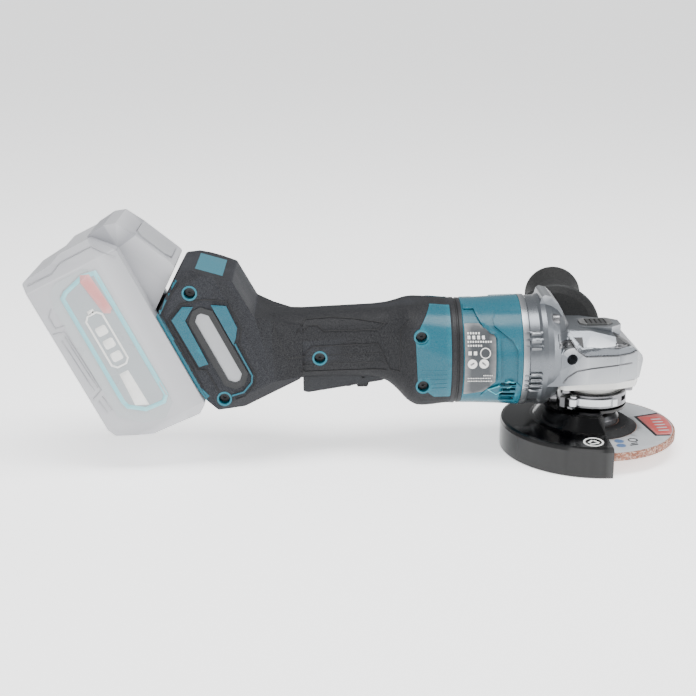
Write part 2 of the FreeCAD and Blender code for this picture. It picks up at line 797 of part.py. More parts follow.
def rail_foot(gap):
    # T-shaped rail on the rear face of the base: a neck and two lips, with room round it by the gap
    low = -38.0 - gap
    neck = prism([(low, -6.0 - gap), (32.0 + gap, -6.0 - gap), (32.0 + gap, rail_lip + gap), (low,
                                        rail_lip + gap)],
                 RAIL, -rail_neck_half_width - gap, rail_neck_half_width + gap)
    lips = prism([(low, rail_lip - gap), (32.0 + gap, rail_lip - gap), (32.0 + gap, rail_height + gap),
                  (low, rail_height + gap)], RAIL, -rail_half_width - gap, rail_half_width + gap)
    return neck.fuse(lips).removeSplitter()


def half(solid, side):
    cutter = block(-420, 60, min(0, side * 80), max(0, side * 80), -60, 220)
    return solid.common(cutter)


def trim_slab():
    return prism([(-62, -2.4), (64, -2.4), (64, 6), (-62, 6)], RAIL, -60, 60)


def base_trim(outer):
    return outer.common(trim_slab()).cut(rail_foot(0.0))


def filter_outline(inset):
    # elongated octagon that follows the rail's lean, in the rail's own directions
    points = [(22.3, -24.6), (22.3, -31.0), (16.0, -37.4), (-36.4, -37.8), (-42.7, -31.4), (-42.7, -24.6),
              (-36.6, -18.6), (16.0, -18.2)]
    return inset_outline(points, inset)


def filter_region(inset, side, deep, proud):
    y0 = base_half_width - deep
    y1 = base_half_width + proud
    if side < 0:
        y0, y1 = -y1, -y0
    return prism(filter_outline(inset), RAIL, y0, y1, 1.5)


def filter_frame(side):
    return filter_region(0.0, side, 4.0, 0.8).cut(filter_region(4.2, side, 6.0, 2.0))


def filter_mesh(side):
    panel = filter_region(4.2, side, 3.0, -0.6)
    return panel


def rear_panel_region(side):
    polygon = [(-109.5, 94.5), (-120.5, 100.0), (-121.5, 98.0), (-132.0, 82.0), (-135.0, 73.5), (-133.5,
                                        44.5),
               (-129.5, 38.5), (-121.5, 30.5), (-109.5, 29.5)]
    y0, y1 = (-60, -12) if side < 0 else (12, 60)
    return prism(polygon, SIDE, y0, y1, 1.2)


def panel_layer(region, deep, proud):
    return region.common(grip_loft(-proud)).cut(grip_loft(deep))


def screw_seat(side, x, z, outer):
    # ring let into the shell round each handle screw
    y = side * surface_y(outer, x, z)
    deep = y - side * screw_seat_depth
    return tube(screw_ring_radius, screw_ring_radius - screw_ring_wall, V(x, deep, z), V(x,
                                        y + side * 0.3, z))


def handle_screw(x, z, outer):
    seat = screw_seat_depth - surface_y(outer, x, z)
    head = rod(screw_head_radius, V(x, seat, z), V(x, seat - screw_head_height, z))
    body = rod(screw_shank_radius, V(x, seat, z), V(x, screw_end_y, z))
    return cut_hex(head.fuse(body), V(x, seat - screw_head_height, z), V(0, -1, 0), 2.6, 1.4)


def top_insert(outer):
    # coloured insert that wraps over the top edge of the base
    region = prism([(-291.5, 112.0), (-272.0, 112.0), (-270.5, 132.0), (-290.0, 134.0)], SIDE, -25.0, 25.0)
    return region.common(outer).cut(base_form(1.2))


def wide(side, near, far):
    return min(side * near, side * far), max(side * near, side * far)


# ---- inside the handle ----

def terminal_block():
    solid = rail_foot(0.0).fuse(prism([(-34, -16), (30, -16), (30, -6), (-34, -6)], RAIL, -21, 21))
    for y in (-13.0, 0.0, 13.0):
        slot = prism([(8, -8), (34, -8), (34, 8.0), (8, 8.0)], RAIL, y - 0.55, y + 0.55)
        solid = solid.cut(slot)
    return solid.removeSplitter()


def terminals():
    blades = []
    for y in (-13.0, 0.0, 13.0):
        blades.append(prism([(8, -8), (30, -8), (30, 1.5), (40, 1.5), (41, 3), (40, 7.0), (8, 7.0)],
                            RAIL, y - 0.5, y + 0.5))
    return group(blades)


def controller_case():
    outer = prism([(-30, -46), (26, -46), (26, -20), (-30, -20)], RAIL, -26, 26, 2.0)
    return outer.cut(prism([(-28, -44), (24, -44), (24, -18), (-28, -18)], RAIL, -24, 24, 1.0))


def controller_board():
    return prism([(-27.5, -41), (23.5, -41), (23.5, -39.4), (-27.5, -39.4)], RAIL, -23.5, 23.5)


def controller_parts():
    # capacitors and power transistors standing on the board
    pieces = []
    for s, y in ((-18, -12), (-4, -12), (10, -12)):
        start = place(RAIL, s, -39.4, y)
        pieces.append(rod(5.5, start, start + rail_n * 15.0))
    for s in (-22, -13, -4, 5, 14):
        pieces.append(prism([(s, -39.4), (s + 6, -39.4), (s + 6, -31), (s, -31)], RAIL, 4.0, 14.0))
    return pieces


def switch_body():
    solid = block(plunger_x - 11.5, plunger_x + 21.5, -9.5, 9.5, 56.0, 78.0)
    return solid.cut(along_z(plunger_radius + slide_gap, 50, 66, plunger_x))


def switch_plunger():
    return along_z(plunger_radius, 48.4, 61.0, plunger_x)


def wiring():
    # three motor leads in gentle bends from the controller to the stator, lying side by side
    leads = []
    for y in (-6.0, 0.0, 6.0):
        route = [V(-257, y, 84), V(-246, y, 84), V(-220, y, 83), V(-160, y, 82), V(-120, y, 84),
                 V(-101.5, y, 84)]
        leads.append(bent_wire(route, 1.5))
    return group(leads)


def bent_wire(route, radius):
    # a round wire through the points, its corners eased by arcs
    edges = []
    start = route[0]
    for i in range(1, len(route) - 1):
        back = (route[i - 1] - route[i])
        ahead = (route[i + 1] - route[i])
        reach = 0.45 * min(back.Length, ahead.Length)
        back = back.normalize()
        ahead = ahead.normalize()
        half_angle = back.getAngle(ahead) / 2
        bend = reach * math.tan(half_angle)
        entry = route[i] + back * reach
        leave = route[i] + ahead * reach
        middle = route[i] + (back + ahead).normalize() * (bend / math.sin(half_angle) - bend)
        edges.append(Part.makeLine(start, entry))
        edges.append(Part.Arc(entry, middle, leave).toShape())
        start = leave
    edges.append(Part.makeLine(start, route[-1]))
    path = Part.Wire(edges)
    circle = Part.Wire([Part.makeCircle(radius, route[0], route[1] - route[0])])
    return path.makePipeShell([circle], True, True)


# ---- paddle switch ----

def paddle():
    solid = prism(paddle_outline(0.0), SIDE, -paddle_half_width, paddle_half_width, 1.6)
    room = prism([(paddle_rear_x + 3, paddle_pivot_z + 8), (paddle_rear_x + 3, 33.0), (-176, 37.0),
                  (-160, 39.5), (-160, paddle_pivot_z + 8)], SIDE, -paddle_half_width + paddle_wall,
                 paddle_half_width - paddle_wall)
    solid = solid.cut(room)
    solid = solid.fuse(block(plunger_x - 5, plunger_x + 5, -paddle_half_width + 1,
                             paddle_half_width - 1, 32.5,
                             paddle_pivot_z + 3.5))
    eye = rod(4.0, V(paddle_pivot_x, -paddle_half_width, paddle_pivot_z),
              V(paddle_pivot_x, paddle_half_width, paddle_pivot_z))
    solid = solid.fuse(eye)
    solid = solid.cut(rod(paddle_pin_radius + running_fit, V(paddle_pivot_x, -20, paddle_pivot_z),
                          V(paddle_pivot_x, 20, paddle_pivot_z)))
    solid = solid.cut(block(lock_off_x - 9, lock_off_x + 8, -5.4, 5.4, 25, 60))
    stub = lock_off_stub + running_fit
    solid = solid.cut(rod(stub, V(lock_off_x, -20, lock_off_z), V(lock_off_x, 20, lock_off_z)))
    return solid.removeSplitter()


def paddle_pin():
    return rod(paddle_pin_radius, V(paddle_pivot_x, -17.5, paddle_pivot_z), V(paddle_pivot_x, 17.5,
                                        paddle_pivot_z))


def lock_off_lever():
    # tab that has to be pushed before the paddle can be squeezed
    tab = [(-176.5, 29.8), (-168.5, 29.8), (-167.5, 33.0), (-169.5, 43.5), (-175.0, 43.5)]
    solid = prism(tab, SIDE, -5.0, 5.0, 1.2)
    reach = paddle_half_width - 0.6
    return solid.fuse(rod(lock_off_stub, V(lock_off_x, -reach, lock_off_z), V(lock_off_x, reach,
                                        lock_off_z)))


# ---- battery ----

def battery_main(inset):
    side = [(battery_high - 6.0, battery_depth), (battery_high - 3.5, 47.0), (battery_high, 39.0),
            (battery_high, 14.0), (battery_high - 15.0, battery_gap), (battery_low + 5.0, battery_gap),
            (battery_low, 7.0), (battery_low + 2.0, 44.0), (battery_low + 13.5, battery_depth - 2.7),
            (battery_low + 20.0, battery_depth)]
    side = inset_outline(side, inset)
    body = prism(side, RAIL, -battery_half_width + inset, battery_half_width - inset, 2.0)
    wide_y = battery_half_width - inset
    across = mirrored([(-60, wide_y - 5), (-40, wide_y), (86, wide_y), (110, wide_y - 13)])
    return body.common(prism(across, RAIL_END, -60, 90, 3.0))


def battery_tower():
    # the release housing, which reaches over the base's rear corner
    side = [(101.0, 20.0), (103.0, 2.0), (100.3, -6.0), (86.5, -13.6), (58.0, -26.5), (54.5, -27.5),
            (45.8, -16.5),
            (32.8, battery_gap + 0.2), (32.8, 20.0)]
    return prism(side, RAIL, -27.0, 27.0, 1.5)


def button_seat(grow):
    # oblong in the sloping face of the release housing; the button slides square to that face
    slope = math.atan2(22.5, 50.0)
    u = rail_s * math.cos(slope) + rail_n * math.sin(slope)
    w = rail_s * math.sin(slope) - rail_n * math.cos(slope)
    centre = place(RAIL, 72.5, -19.9, 0)
    frame = (centre, u, V(0, 1, 0), w)
    return frame, mirrored([(-14 - grow, 15 + grow), (-9, 19 + grow), (11, 19 + grow), (16 + grow,
                                        14 + grow)])


def battery_button():
    frame, plan = button_seat(0.0)
    return prism(plan, frame, -8.0, 1.2, 2.0)


def battery_button_spring():
    centre, _, _, w = button_seat(0.0)[0]
    return tube(4.5, 3.4, centre - w * 12.4, centre - w * 8.0)


def battery_button_room():
    frame, plan = button_seat(slide_gap)
    return prism(plan, frame, -12.6, 12.0, 2.0)




def battery_cover():
    solid = battery_main(0.0).fuse(battery_tower()).removeSplitter()
    solid = solid.common(prism([(-70, -60), (130, -60), (130, split_n), (-70, split_n)], RAIL, -60, 60))
    inside = battery_main(battery_wall).common(
        prism([(-44, 12.6), (96, 12.6), (96, split_n + 1), (-44, split_n + 1)], RAIL, -60, 60))
    solid = solid.cut(inside)
    open_end = prism([(-60, 0), (33, 0), (33, rail_lip + 0.3), (-60, rail_lip + 0.3)],
                     RAIL, -rail_neck_half_width - 0.3, rail_neck_half_width + 0.3)
    slide = prism([(-60, rail_lip - 0.3), (33, rail_lip - 0.3), (33, rail_height + 0.3), (-60,
                                        rail_height + 0.3)],
                  RAIL, -rail_half_width - 0.3, rail_half_width + 0.3)
    solid = solid.cut(open_end).cut(slide).cut(battery_button_room())
    for y in (-13.0, 0.0, 13.0):
        solid = solid.cut(prism([(30, 0.9), (44, 0.9), (44, 8.0), (30, 8.0)], RAIL, y - 1.6, y + 1.6))
    return solid


def battery_case():
    solid = battery_main(0.0).common(prism([(-70, split_n), (130, split_n), (130, 90), (-70, 90)], RAIL,
                                        -60, 60))
    inside = battery_main(battery_wall).common(
        prism([(-70, split_n - 1), (130, split_n - 1), (130, 90), (-70, 90)], RAIL, -60, 60))
    return solid.cut(inside)


def cell_centres():
    centres = []
    for row in range(2):
        for i in range(5):
            centres.append((-22.0 + i * 23.0, 30.0 + row * 23.0))
    return centres


def battery_cells():
    cells = []
    for s, n in cell_centres():
        cells.append(rod(cell_radius, place(RAIL, s, n, -cell_length / 2), place(RAIL, s, n,
                                        cell_length / 2)))
    return group(cells)


def cell_holder():
    solid = prism([(-34.0, 18.6), (82.0, 18.6), (82.0, 65.0), (-26.0, 65.0), (-34.0, 48.0)], RAIL, -30, 30)
    for s, n in cell_centres():
        solid = solid.cut(rod(cell_radius + 0.1, place(RAIL, s, n, -40), place(RAIL, s, n, 40)))
    return solid


def battery_label(side):
    points = [(84.0, 50.0), (80.0, 56.0), (68.0, 60.0), (-22.0, 60.0), (-34.0, 46.0), (-38.0, 30.0),
              (-30.0, 20.0),
              (78.0, 20.0), (84.0, 27.0)]
    y0, y1 = wide(side, battery_half_width, battery_half_width + 0.3)
    return prism(points, RAIL, y0, y1, 1.5)


# ---- guard ----

def guard_shell():
    r = guard_radius
    w = guard_wall
    solid = turned_z([(r - w, guard_skirt_low), (r - 0.8, guard_skirt_low), (r, guard_skirt_low + 0.8),
                      (r, guard_rim_z - 3.0), (r - 0.9, guard_rim_z - 0.9), (r - 3.0, guard_rim_z),
                      (46, 3.2), (43.5, 4.0), (36.5, 13.0), (34.5, 14.0), (25.4, 14.6), (25.4, 12.6),
                      (34.0, 12.0), (41.8, 2.4), (45.5, 1.2), (r - 3.2, guard_rim_z - w), (r - w,
                                        guard_rim_z - 4.0)],
                     guard_span, guard_start_angle)
    inner = box_neck_radius + band_clearance
    collar = turned_z([(inner, 12.6), (25.4, 12.6), (25.4, 14.6), (inner + 2.4, 15.4), (inner + 2.4, 26.5),
                       (inner, 26.5)])
    return solid.fuse(collar).removeSplitter()


lever_pivot_angle = 232.0
lever_pivot_radius = 30.0


def on_circle(radius, angle, z):
    a = math.radians(angle)
    return V(radius * math.cos(a), radius * math.sin(a), z)


def clamp_band():
    z0 = 16.6
    z1 = z0 + band_height
    solid = tube(band_inner + band_thickness, band_inner, V(0, 0, z0), V(0, 0, z1))
    gap = block(band_inner - 1, 36, -1.3, 1.3, z0 - 1, z1 + 1)
    gap.rotate(V(0, 0, 0), V(0, 0, 1), 225.0)
    lugs = block(band_inner + 0.5, 33.5, -5.5, 5.5, z0 + 0.6, z1 - 0.6)
    lugs.rotate(V(0, 0, 0), V(0, 0, 1), 225.0)
    solid = solid.fuse(lugs.cut(along_z(band_inner, 0, 40))).cut(gap)
    slot = block(band_inner - 1, band_inner + band_thickness + 1, -3.6, 3.6, z0 + 3.0, z1 - 2.4)
    for copy in spun(slot, 9, V(0, 0, 0), V(0, 0, 1), 285.0)[:7]:
        solid = solid.cut(copy)
    room = tube(35, lever_inner - 0.4, V(0, 0, 18.6), V(0, 0, 24.4))
    sector = turned_z([(20, 18.6), (36, 18.6), (36, 24.4), (20, 24.4)], 24.0, 225.8)
    solid = solid.cut(room.common(sector))
    pivot = on_circle(lever_pivot_radius, lever_pivot_angle, 0)
    return solid.cut(along_z(1.6, z0 - 1, z1 + 1, pivot.x, pivot.y))




def clamp_lever():
    strip = turned_z([(lever_inner, 19.0), (lever_inner + 2.0, 19.0), (lever_inner + 2.0, 24.0),
                      (lever_inner, 24.0)], 60.0, lever_pivot_angle + 4.0)
    pivot = on_circle(lever_pivot_radius, lever_pivot_angle, 0)
    finger = turned_z([(lever_inner, 19.0), (lever_inner + 3.4, 19.0), (lever_inner + 3.4, 24.0),
                       (lever_inner, 24.0)], 8.0, lever_pivot_angle + 58.0)
    eye = along_z(3.2, 19.0, 24.0, pivot.x, pivot.y)
    solid = fused([strip, finger, eye])
    return solid.cut(along_z(1.6 + running_fit, 10, 30, pivot.x, pivot.y))


def clamp_pin():
    pivot = on_circle(lever_pivot_radius, lever_pivot_angle, 0)
    return along_z(1.6, 16.8, 26.0, pivot.x, pivot.y).fuse(along_z(2.6, 25.0, 26.4, pivot.x, pivot.y))


# ---- spindle lock ----

def lock_button():
    top = prism(lock_oval(0.0), PLAN, 71.9, 76.5, 2.0)
    for i in range(5):
        x = -7.0 + i * 3.5
        top = top.cut(block(x - 0.45, x + 0.45, -5.5, 5.5, 75.7, 78))
    return top


def lock_pin():
    return along_z(lock_pin_radius, 53.2, 71.9, lock_pin_x)


def lock_spring():
    return tube(4.2, 3.2, V(-2, 0, 69.0), V(-2, 0, 71.9))


# ---- side handle ----

def side_handle_piece(points):
    # turned about the side-handle axis; points are (distance from the mouth, radius)
    mouth, direction = side_axis(1)
    corners = [V(r, 0, t) for t, r in points]
    face = Part.Face(Part.makePolygon(corners + [corners[0]]))
    solid = face.revolve(V(0, 0, 0), V(0, 0, 1), 360)
    solid.Placement = FreeCAD.Placement(mouth, FreeCAD.Rotation(V(0, 0, 1), direction))
    return solid


def handle_reach(y):
    return (y - head_half_width) / math.cos(math.radians(side_boss_lean))


def side_handle_bolt():
    return side_handle_piece([(-12.5, 0), (-12.5, 3.3), (-11.9, side_hole_radius - 0.06),
                              (0, side_hole_radius - 0.06), (0, 6.0), (3, 6.0), (3, 4.0), (52,
                                        4.0), (52, 0)])


def side_handle_flange():
    f = handle_reach(handle_flange_y)
    r = handle_flange_radius
    return side_handle_piece([(3, 4.0), (3, 8.6), (7, 9.5), (f - 6, 12.5), (f - 3.5, r - 6), (f - 1.5,
                                        r - 1),
                              (f, r), (f + 1.8, r - 0.6), (f + 2.2, r - 4), (f + 1.2, r - 7), (f + 3, 14.0),
                              (f + 8, 13.0), (f + 8, 4.0)])


def side_handle_grip():
    f = handle_reach(handle_flange_y) + 8
    e = handle_reach(handle_end_y)
    r = handle_grip_radius
    outline_points = [(f, 4.0), (f, 15.0), (f + 5, r - 1), (f + 16, r), (f + 40, r + 0.6), (e - 34,
                                        r - 0.4),
                      (e - 22, r + 0.2), (e - 9, handle_end_radius - 1.8), (e - 4, handle_end_radius),
                      (e, handle_end_radius), (e + 3.4, handle_end_radius - 2.6), (e + 5, 14), (e + 5, 0),
                      (52, 0), (52, 4.0)]
    return side_handle_piece(outline_points)


# ---- everything, one file per piece ----

def build():
    keep("gear_housing", gear_housing())
    keep("head_side_panels", group(head_panel_solids()))
    keep("head_screws", head_screws())
    keep("bearing_box", bearing_box())
    keep("bearing_box_screws", box_screws())
    keep("spindle_bearings", spindle_bearings())
    keep("rotor_bearings", rotor_bearings())
    keep("spindle", spindle())
    keep("bevel_gear", bevel_gear())
    keep("inner_flange", inner_flange())
    keep("grinding_wheel", wheel())
    keep("wheel_label", wheel_label())
    keep("lock_nut", lock_nut())
    keep("pinion", pinion())
    keep("rotor_shaft", rotor_shaft())
    keep("rotor_core", rotor_core())
    keep("rotor_magnets", rotor_magnets())
    keep("fan", fan())
    keep("motor_housing", motor_housing())
    keep("name_plates", group([name_plate(-1), name_plate(1)]))
    keep("stator_core", stator_core())
    keep("stator_windings", stator_windings())
    keep("air_baffle", air_baffle())
    keep("housing_ring", housing_ring())
    keep("guard_shell", guard_shell())
    keep("clamp_band", clamp_band())
    keep("clamp_pin", clamp_pin())
    keep("clamp_lever", clamp_lever())
    keep("spindle_lock_button", lock_button())
    keep("spindle_lock_pin", lock_pin())
    keep("spindle_lock_spring", lock_spring())
    keep("side_handle_bolt", side_handle_bolt())
    keep("side_handle_flange", side_handle_flange())
    keep("side_handle_grip", side_handle_grip())

    outer, shell = build_handle()
    shell = shell.cut(trim_slab())
    insert = top_insert(outer)
    shell = shell.cut(insert)
    rings = []
    screws = []
    for x, z in handle_screw_places:
        for side in (-1, 1):
            y = side * surface_y(outer, x, z)
            shell = shell.cut(rod(screw_ring_radius, V(x, y + side * 20, z), V(x,
                                        y - side * screw_seat_depth, z)))
            rings.append(screw_seat(side, x, z, outer))
        screws.append(handle_screw(x, z, outer))
    shell = shell.cut(group(screws))
    panels = []
    for side in (-1, 1):
        panel = panel_layer(rear_panel_region(side), 1.2, 0.5)
        shell = shell.cut(panel)
        shell = shell.cut(filter_region(0.0, side, 4.0, 5.0))
        shell = shell.cut(filter_region(5.5, side, 20.0, 5.0))
        for x, z in handle_screw_places:
            y = side * surface_y(outer, x, z)
            panel = panel.cut(rod(screw_ring_radius, V(x, y + side * 20, z), V(x,
                                        y - side * screw_seat_depth, z)))
        panels.append(panel)
    keep("left_handle_shell", half(shell, -1))
    keep("right_handle_shell", half(shell, 1))
    keep("rear_panels", group(panels))
    keep("filter_frames", group([filter_frame(-1), filter_frame(1)]))
    keep("filter_meshes", group([filter_mesh(-1), filter_mesh(1)]))
    keep("battery_labels", group([battery_label(-1), battery_label(1)]))
    keep("screw_rings", group(rings))
    keep("handle_screws", group(screws))
    keep("top_insert", insert)
    keep("base_trim", base_trim(outer))
    keep("terminal_block", terminal_block())
    keep("terminals", terminals())
    keep("controller_case", controller_case())
    keep("controller_board", group([controller_board()] + controller_parts()))
    keep("switch_body", switch_body())
    keep("switch_plunger", switch_plunger())
    keep("motor_leads", wiring())
    keep("paddle", paddle())
    keep("paddle_pin", paddle_pin())
    keep("lock_off_lever", lock_off_lever())
    keep("battery_cover", battery_cover())
    keep("battery_case", battery_case())
    keep("battery_cells", battery_cells())
    keep("cell_holder", cell_holder())
    keep("battery_button", battery_button())
    keep("battery_button_spring", battery_button_spring())


build()
os.makedirs("parts", exist_ok=True)
for name, shape in parts.items():
    shape.exportStep("parts/" + name + ".step")
    box = shape.BoundBox
    print("%-24s solids %2d  valid %s  volume %9.0f  x %7.1f %7.1f  y %6.1f %6.1f  z %6.1f %6.1f" % (
        name, len(shape.Solids), shape.isValid(), shape.Volume, box.XMin, box.XMax, box.YMin, box.YMax,
        box.ZMin, box.ZMax))
print(len(parts), "pieces")
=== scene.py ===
import json
import math

import bmesh
import bpy
from mathutils import Matrix, Vector
from mathutils.bvhtree import BVHTree


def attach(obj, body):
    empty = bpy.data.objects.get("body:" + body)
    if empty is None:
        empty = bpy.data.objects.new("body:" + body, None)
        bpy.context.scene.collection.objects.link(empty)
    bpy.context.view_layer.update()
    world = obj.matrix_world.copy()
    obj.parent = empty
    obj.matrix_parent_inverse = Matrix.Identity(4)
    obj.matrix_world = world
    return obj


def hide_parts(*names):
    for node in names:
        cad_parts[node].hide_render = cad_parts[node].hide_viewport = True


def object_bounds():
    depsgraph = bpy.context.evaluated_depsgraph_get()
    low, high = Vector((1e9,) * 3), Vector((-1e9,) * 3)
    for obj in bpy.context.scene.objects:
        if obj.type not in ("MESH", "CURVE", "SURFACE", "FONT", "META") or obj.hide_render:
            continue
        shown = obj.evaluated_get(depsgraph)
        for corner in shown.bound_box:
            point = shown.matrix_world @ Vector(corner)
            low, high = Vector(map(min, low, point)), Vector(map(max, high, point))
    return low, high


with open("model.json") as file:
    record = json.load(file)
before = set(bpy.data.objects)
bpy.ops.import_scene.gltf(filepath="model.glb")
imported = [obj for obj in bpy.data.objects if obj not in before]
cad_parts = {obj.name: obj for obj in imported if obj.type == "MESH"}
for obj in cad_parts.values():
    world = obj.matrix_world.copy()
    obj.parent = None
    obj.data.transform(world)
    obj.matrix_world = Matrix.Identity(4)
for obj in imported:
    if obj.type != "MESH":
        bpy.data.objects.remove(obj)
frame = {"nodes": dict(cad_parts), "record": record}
nodes = frame["nodes"]
cadLow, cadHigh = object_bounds()
print("frame loaded:", len(nodes), "nodes")


# Lengths are written in millimetres and become metres here.
def mm(value):
    return value / 1000


def at(x, y, z):
    return Vector((mm(x), mm(y), mm(z)))


# A pattern whose feature is this many millimetres across.
def scaleFor(size):
    return 1 / mm(size)


def linear(code):
    parts = [int(code[i:i + 2], 16) / 255 for i in (1, 3, 5)]
    return [c / 12.92 if c <= 0.04045 else ((c + 0.055) / 1.055) ** 2.4 for c in parts] + [1.0]


def shade(colour, factor):
    return [min(1.0, c * factor) for c in colour[:3]] + [1.0]


# Adds one shader node with its settings and links.
def addNode(tree, kind, settings=None, links=None):
    made = tree.nodes.new(kind)
    for key, value in (settings or {}).items():
        if isinstance(key, int) or key in made.inputs:
            made.inputs[key].default_value = value
        else:
            setattr(made, key, value)
    for key, source in (links or {}).items():
        tree.links.new(source, made.inputs[key])
    return made


def blended(tree, factor, low, high):
    mix = addNode(tree, "ShaderNodeMix", {"data_type": "RGBA"})
    for index, value in ((0, factor), (6, low), (7, high)):
        if hasattr(value, "links"):
            tree.links.new(value, mix.inputs[index])
        else:
            mix.inputs[index].default_value = value
    return mix.outputs[2]


def ranged(tree, value, low, high, fromLow=0.3, fromHigh=0.7):
    settings = {"From Min": fromLow, "From Max": fromHigh, "To Min": low, "To Max": high}
    return addNode(tree, "ShaderNodeMapRange", settings, {"Value": value}).outputs["Result"]


def newTree(name):
    made = bpy.data.materials.new(name)
    made.use_nodes = True
    made.node_tree.nodes.clear()
    return made, made.node_tree


def finishTree(tree, shader):
    addNode(tree, "ShaderNodeOutputMaterial", {}, {"Surface": shader})


roughSpread = 0.05  # how far the roughness wanders from its middle value


# A surface with a fine grain in the relief, slow changes of tone and brighter edges, partly wear
# and partly a painted highlight.
def surface(name, look):
    made, tree = newTree(name)
    place = addNode(tree, "ShaderNodeTexCoord").outputs["Object"]
    stretch = addNode(tree, "ShaderNodeMapping", {"Scale": look.get("stretch", (1, 1, 1))},
                      {"Vector": place})
    grain = addNode(tree, "ShaderNodeTexNoise",
                    {"Scale": scaleFor(look["grain"]), "Detail": 4.0, "Roughness": 0.6},
                    {"Vector": stretch.outputs["Vector"]}).outputs["Fac"]
    tone = addNode(tree, "ShaderNodeTexNoise", {"Scale": scaleFor(look["mottle"]), "Detail": 3.0},
                   {"Vector": place}).outputs["Fac"]
    colour = linear(look["colour"])
    spread = look.get("spread", 0.08)
    base = blended(tree, tone, shade(colour, 1 - spread), shade(colour, 1 + spread))
    speck = look.get("speck", 0.04)
    fine = ranged(tree, grain, 0.0, 1.0)
    specked = blended(tree, speck, base, linear(look.get("speckColour", "#ffffff")))
    base = blended(tree, fine, base, specked)
    # Convex edges turn towards a pale colour: partly wear, partly a painted edge highlight.
    point = addNode(tree, "ShaderNodeNewGeometry").outputs["Pointiness"]
    edge = ranged(tree, point, 0.0, look.get("wearAndHighlight", 0.15), 0.53, 0.62)
    base = blended(tree, edge, base, linear(look.get("wearAndHighlightColour", "#f2f2f2")))
    rough = ranged(tree, tone, look["rough"] - roughSpread, look["rough"] + roughSpread)
    relief = {"Strength": look.get("relief", 0.3), "Distance": mm(look.get("depth", 0.05))}
    bump = addNode(tree, "ShaderNodeBump", relief, {"Height": grain})
    shader = addNode(tree, "ShaderNodeBsdfPrincipled",
                     {"Metallic": look.get("metal", 0.0), "IOR": 1.5,
                      "Specular IOR Level": look.get("specular", 0.5),
                      "Coat Weight": look.get("coat", 0.0),
                      "Coat Roughness": look.get("coatRough", 0.1),
                      "Anisotropic": look.get("brushed", 0.0)},
                     {"Base Color": base, "Roughness": rough, "Normal": bump.outputs["Normal"]})
    finishTree(tree, shader.outputs["BSDF"])
    return made


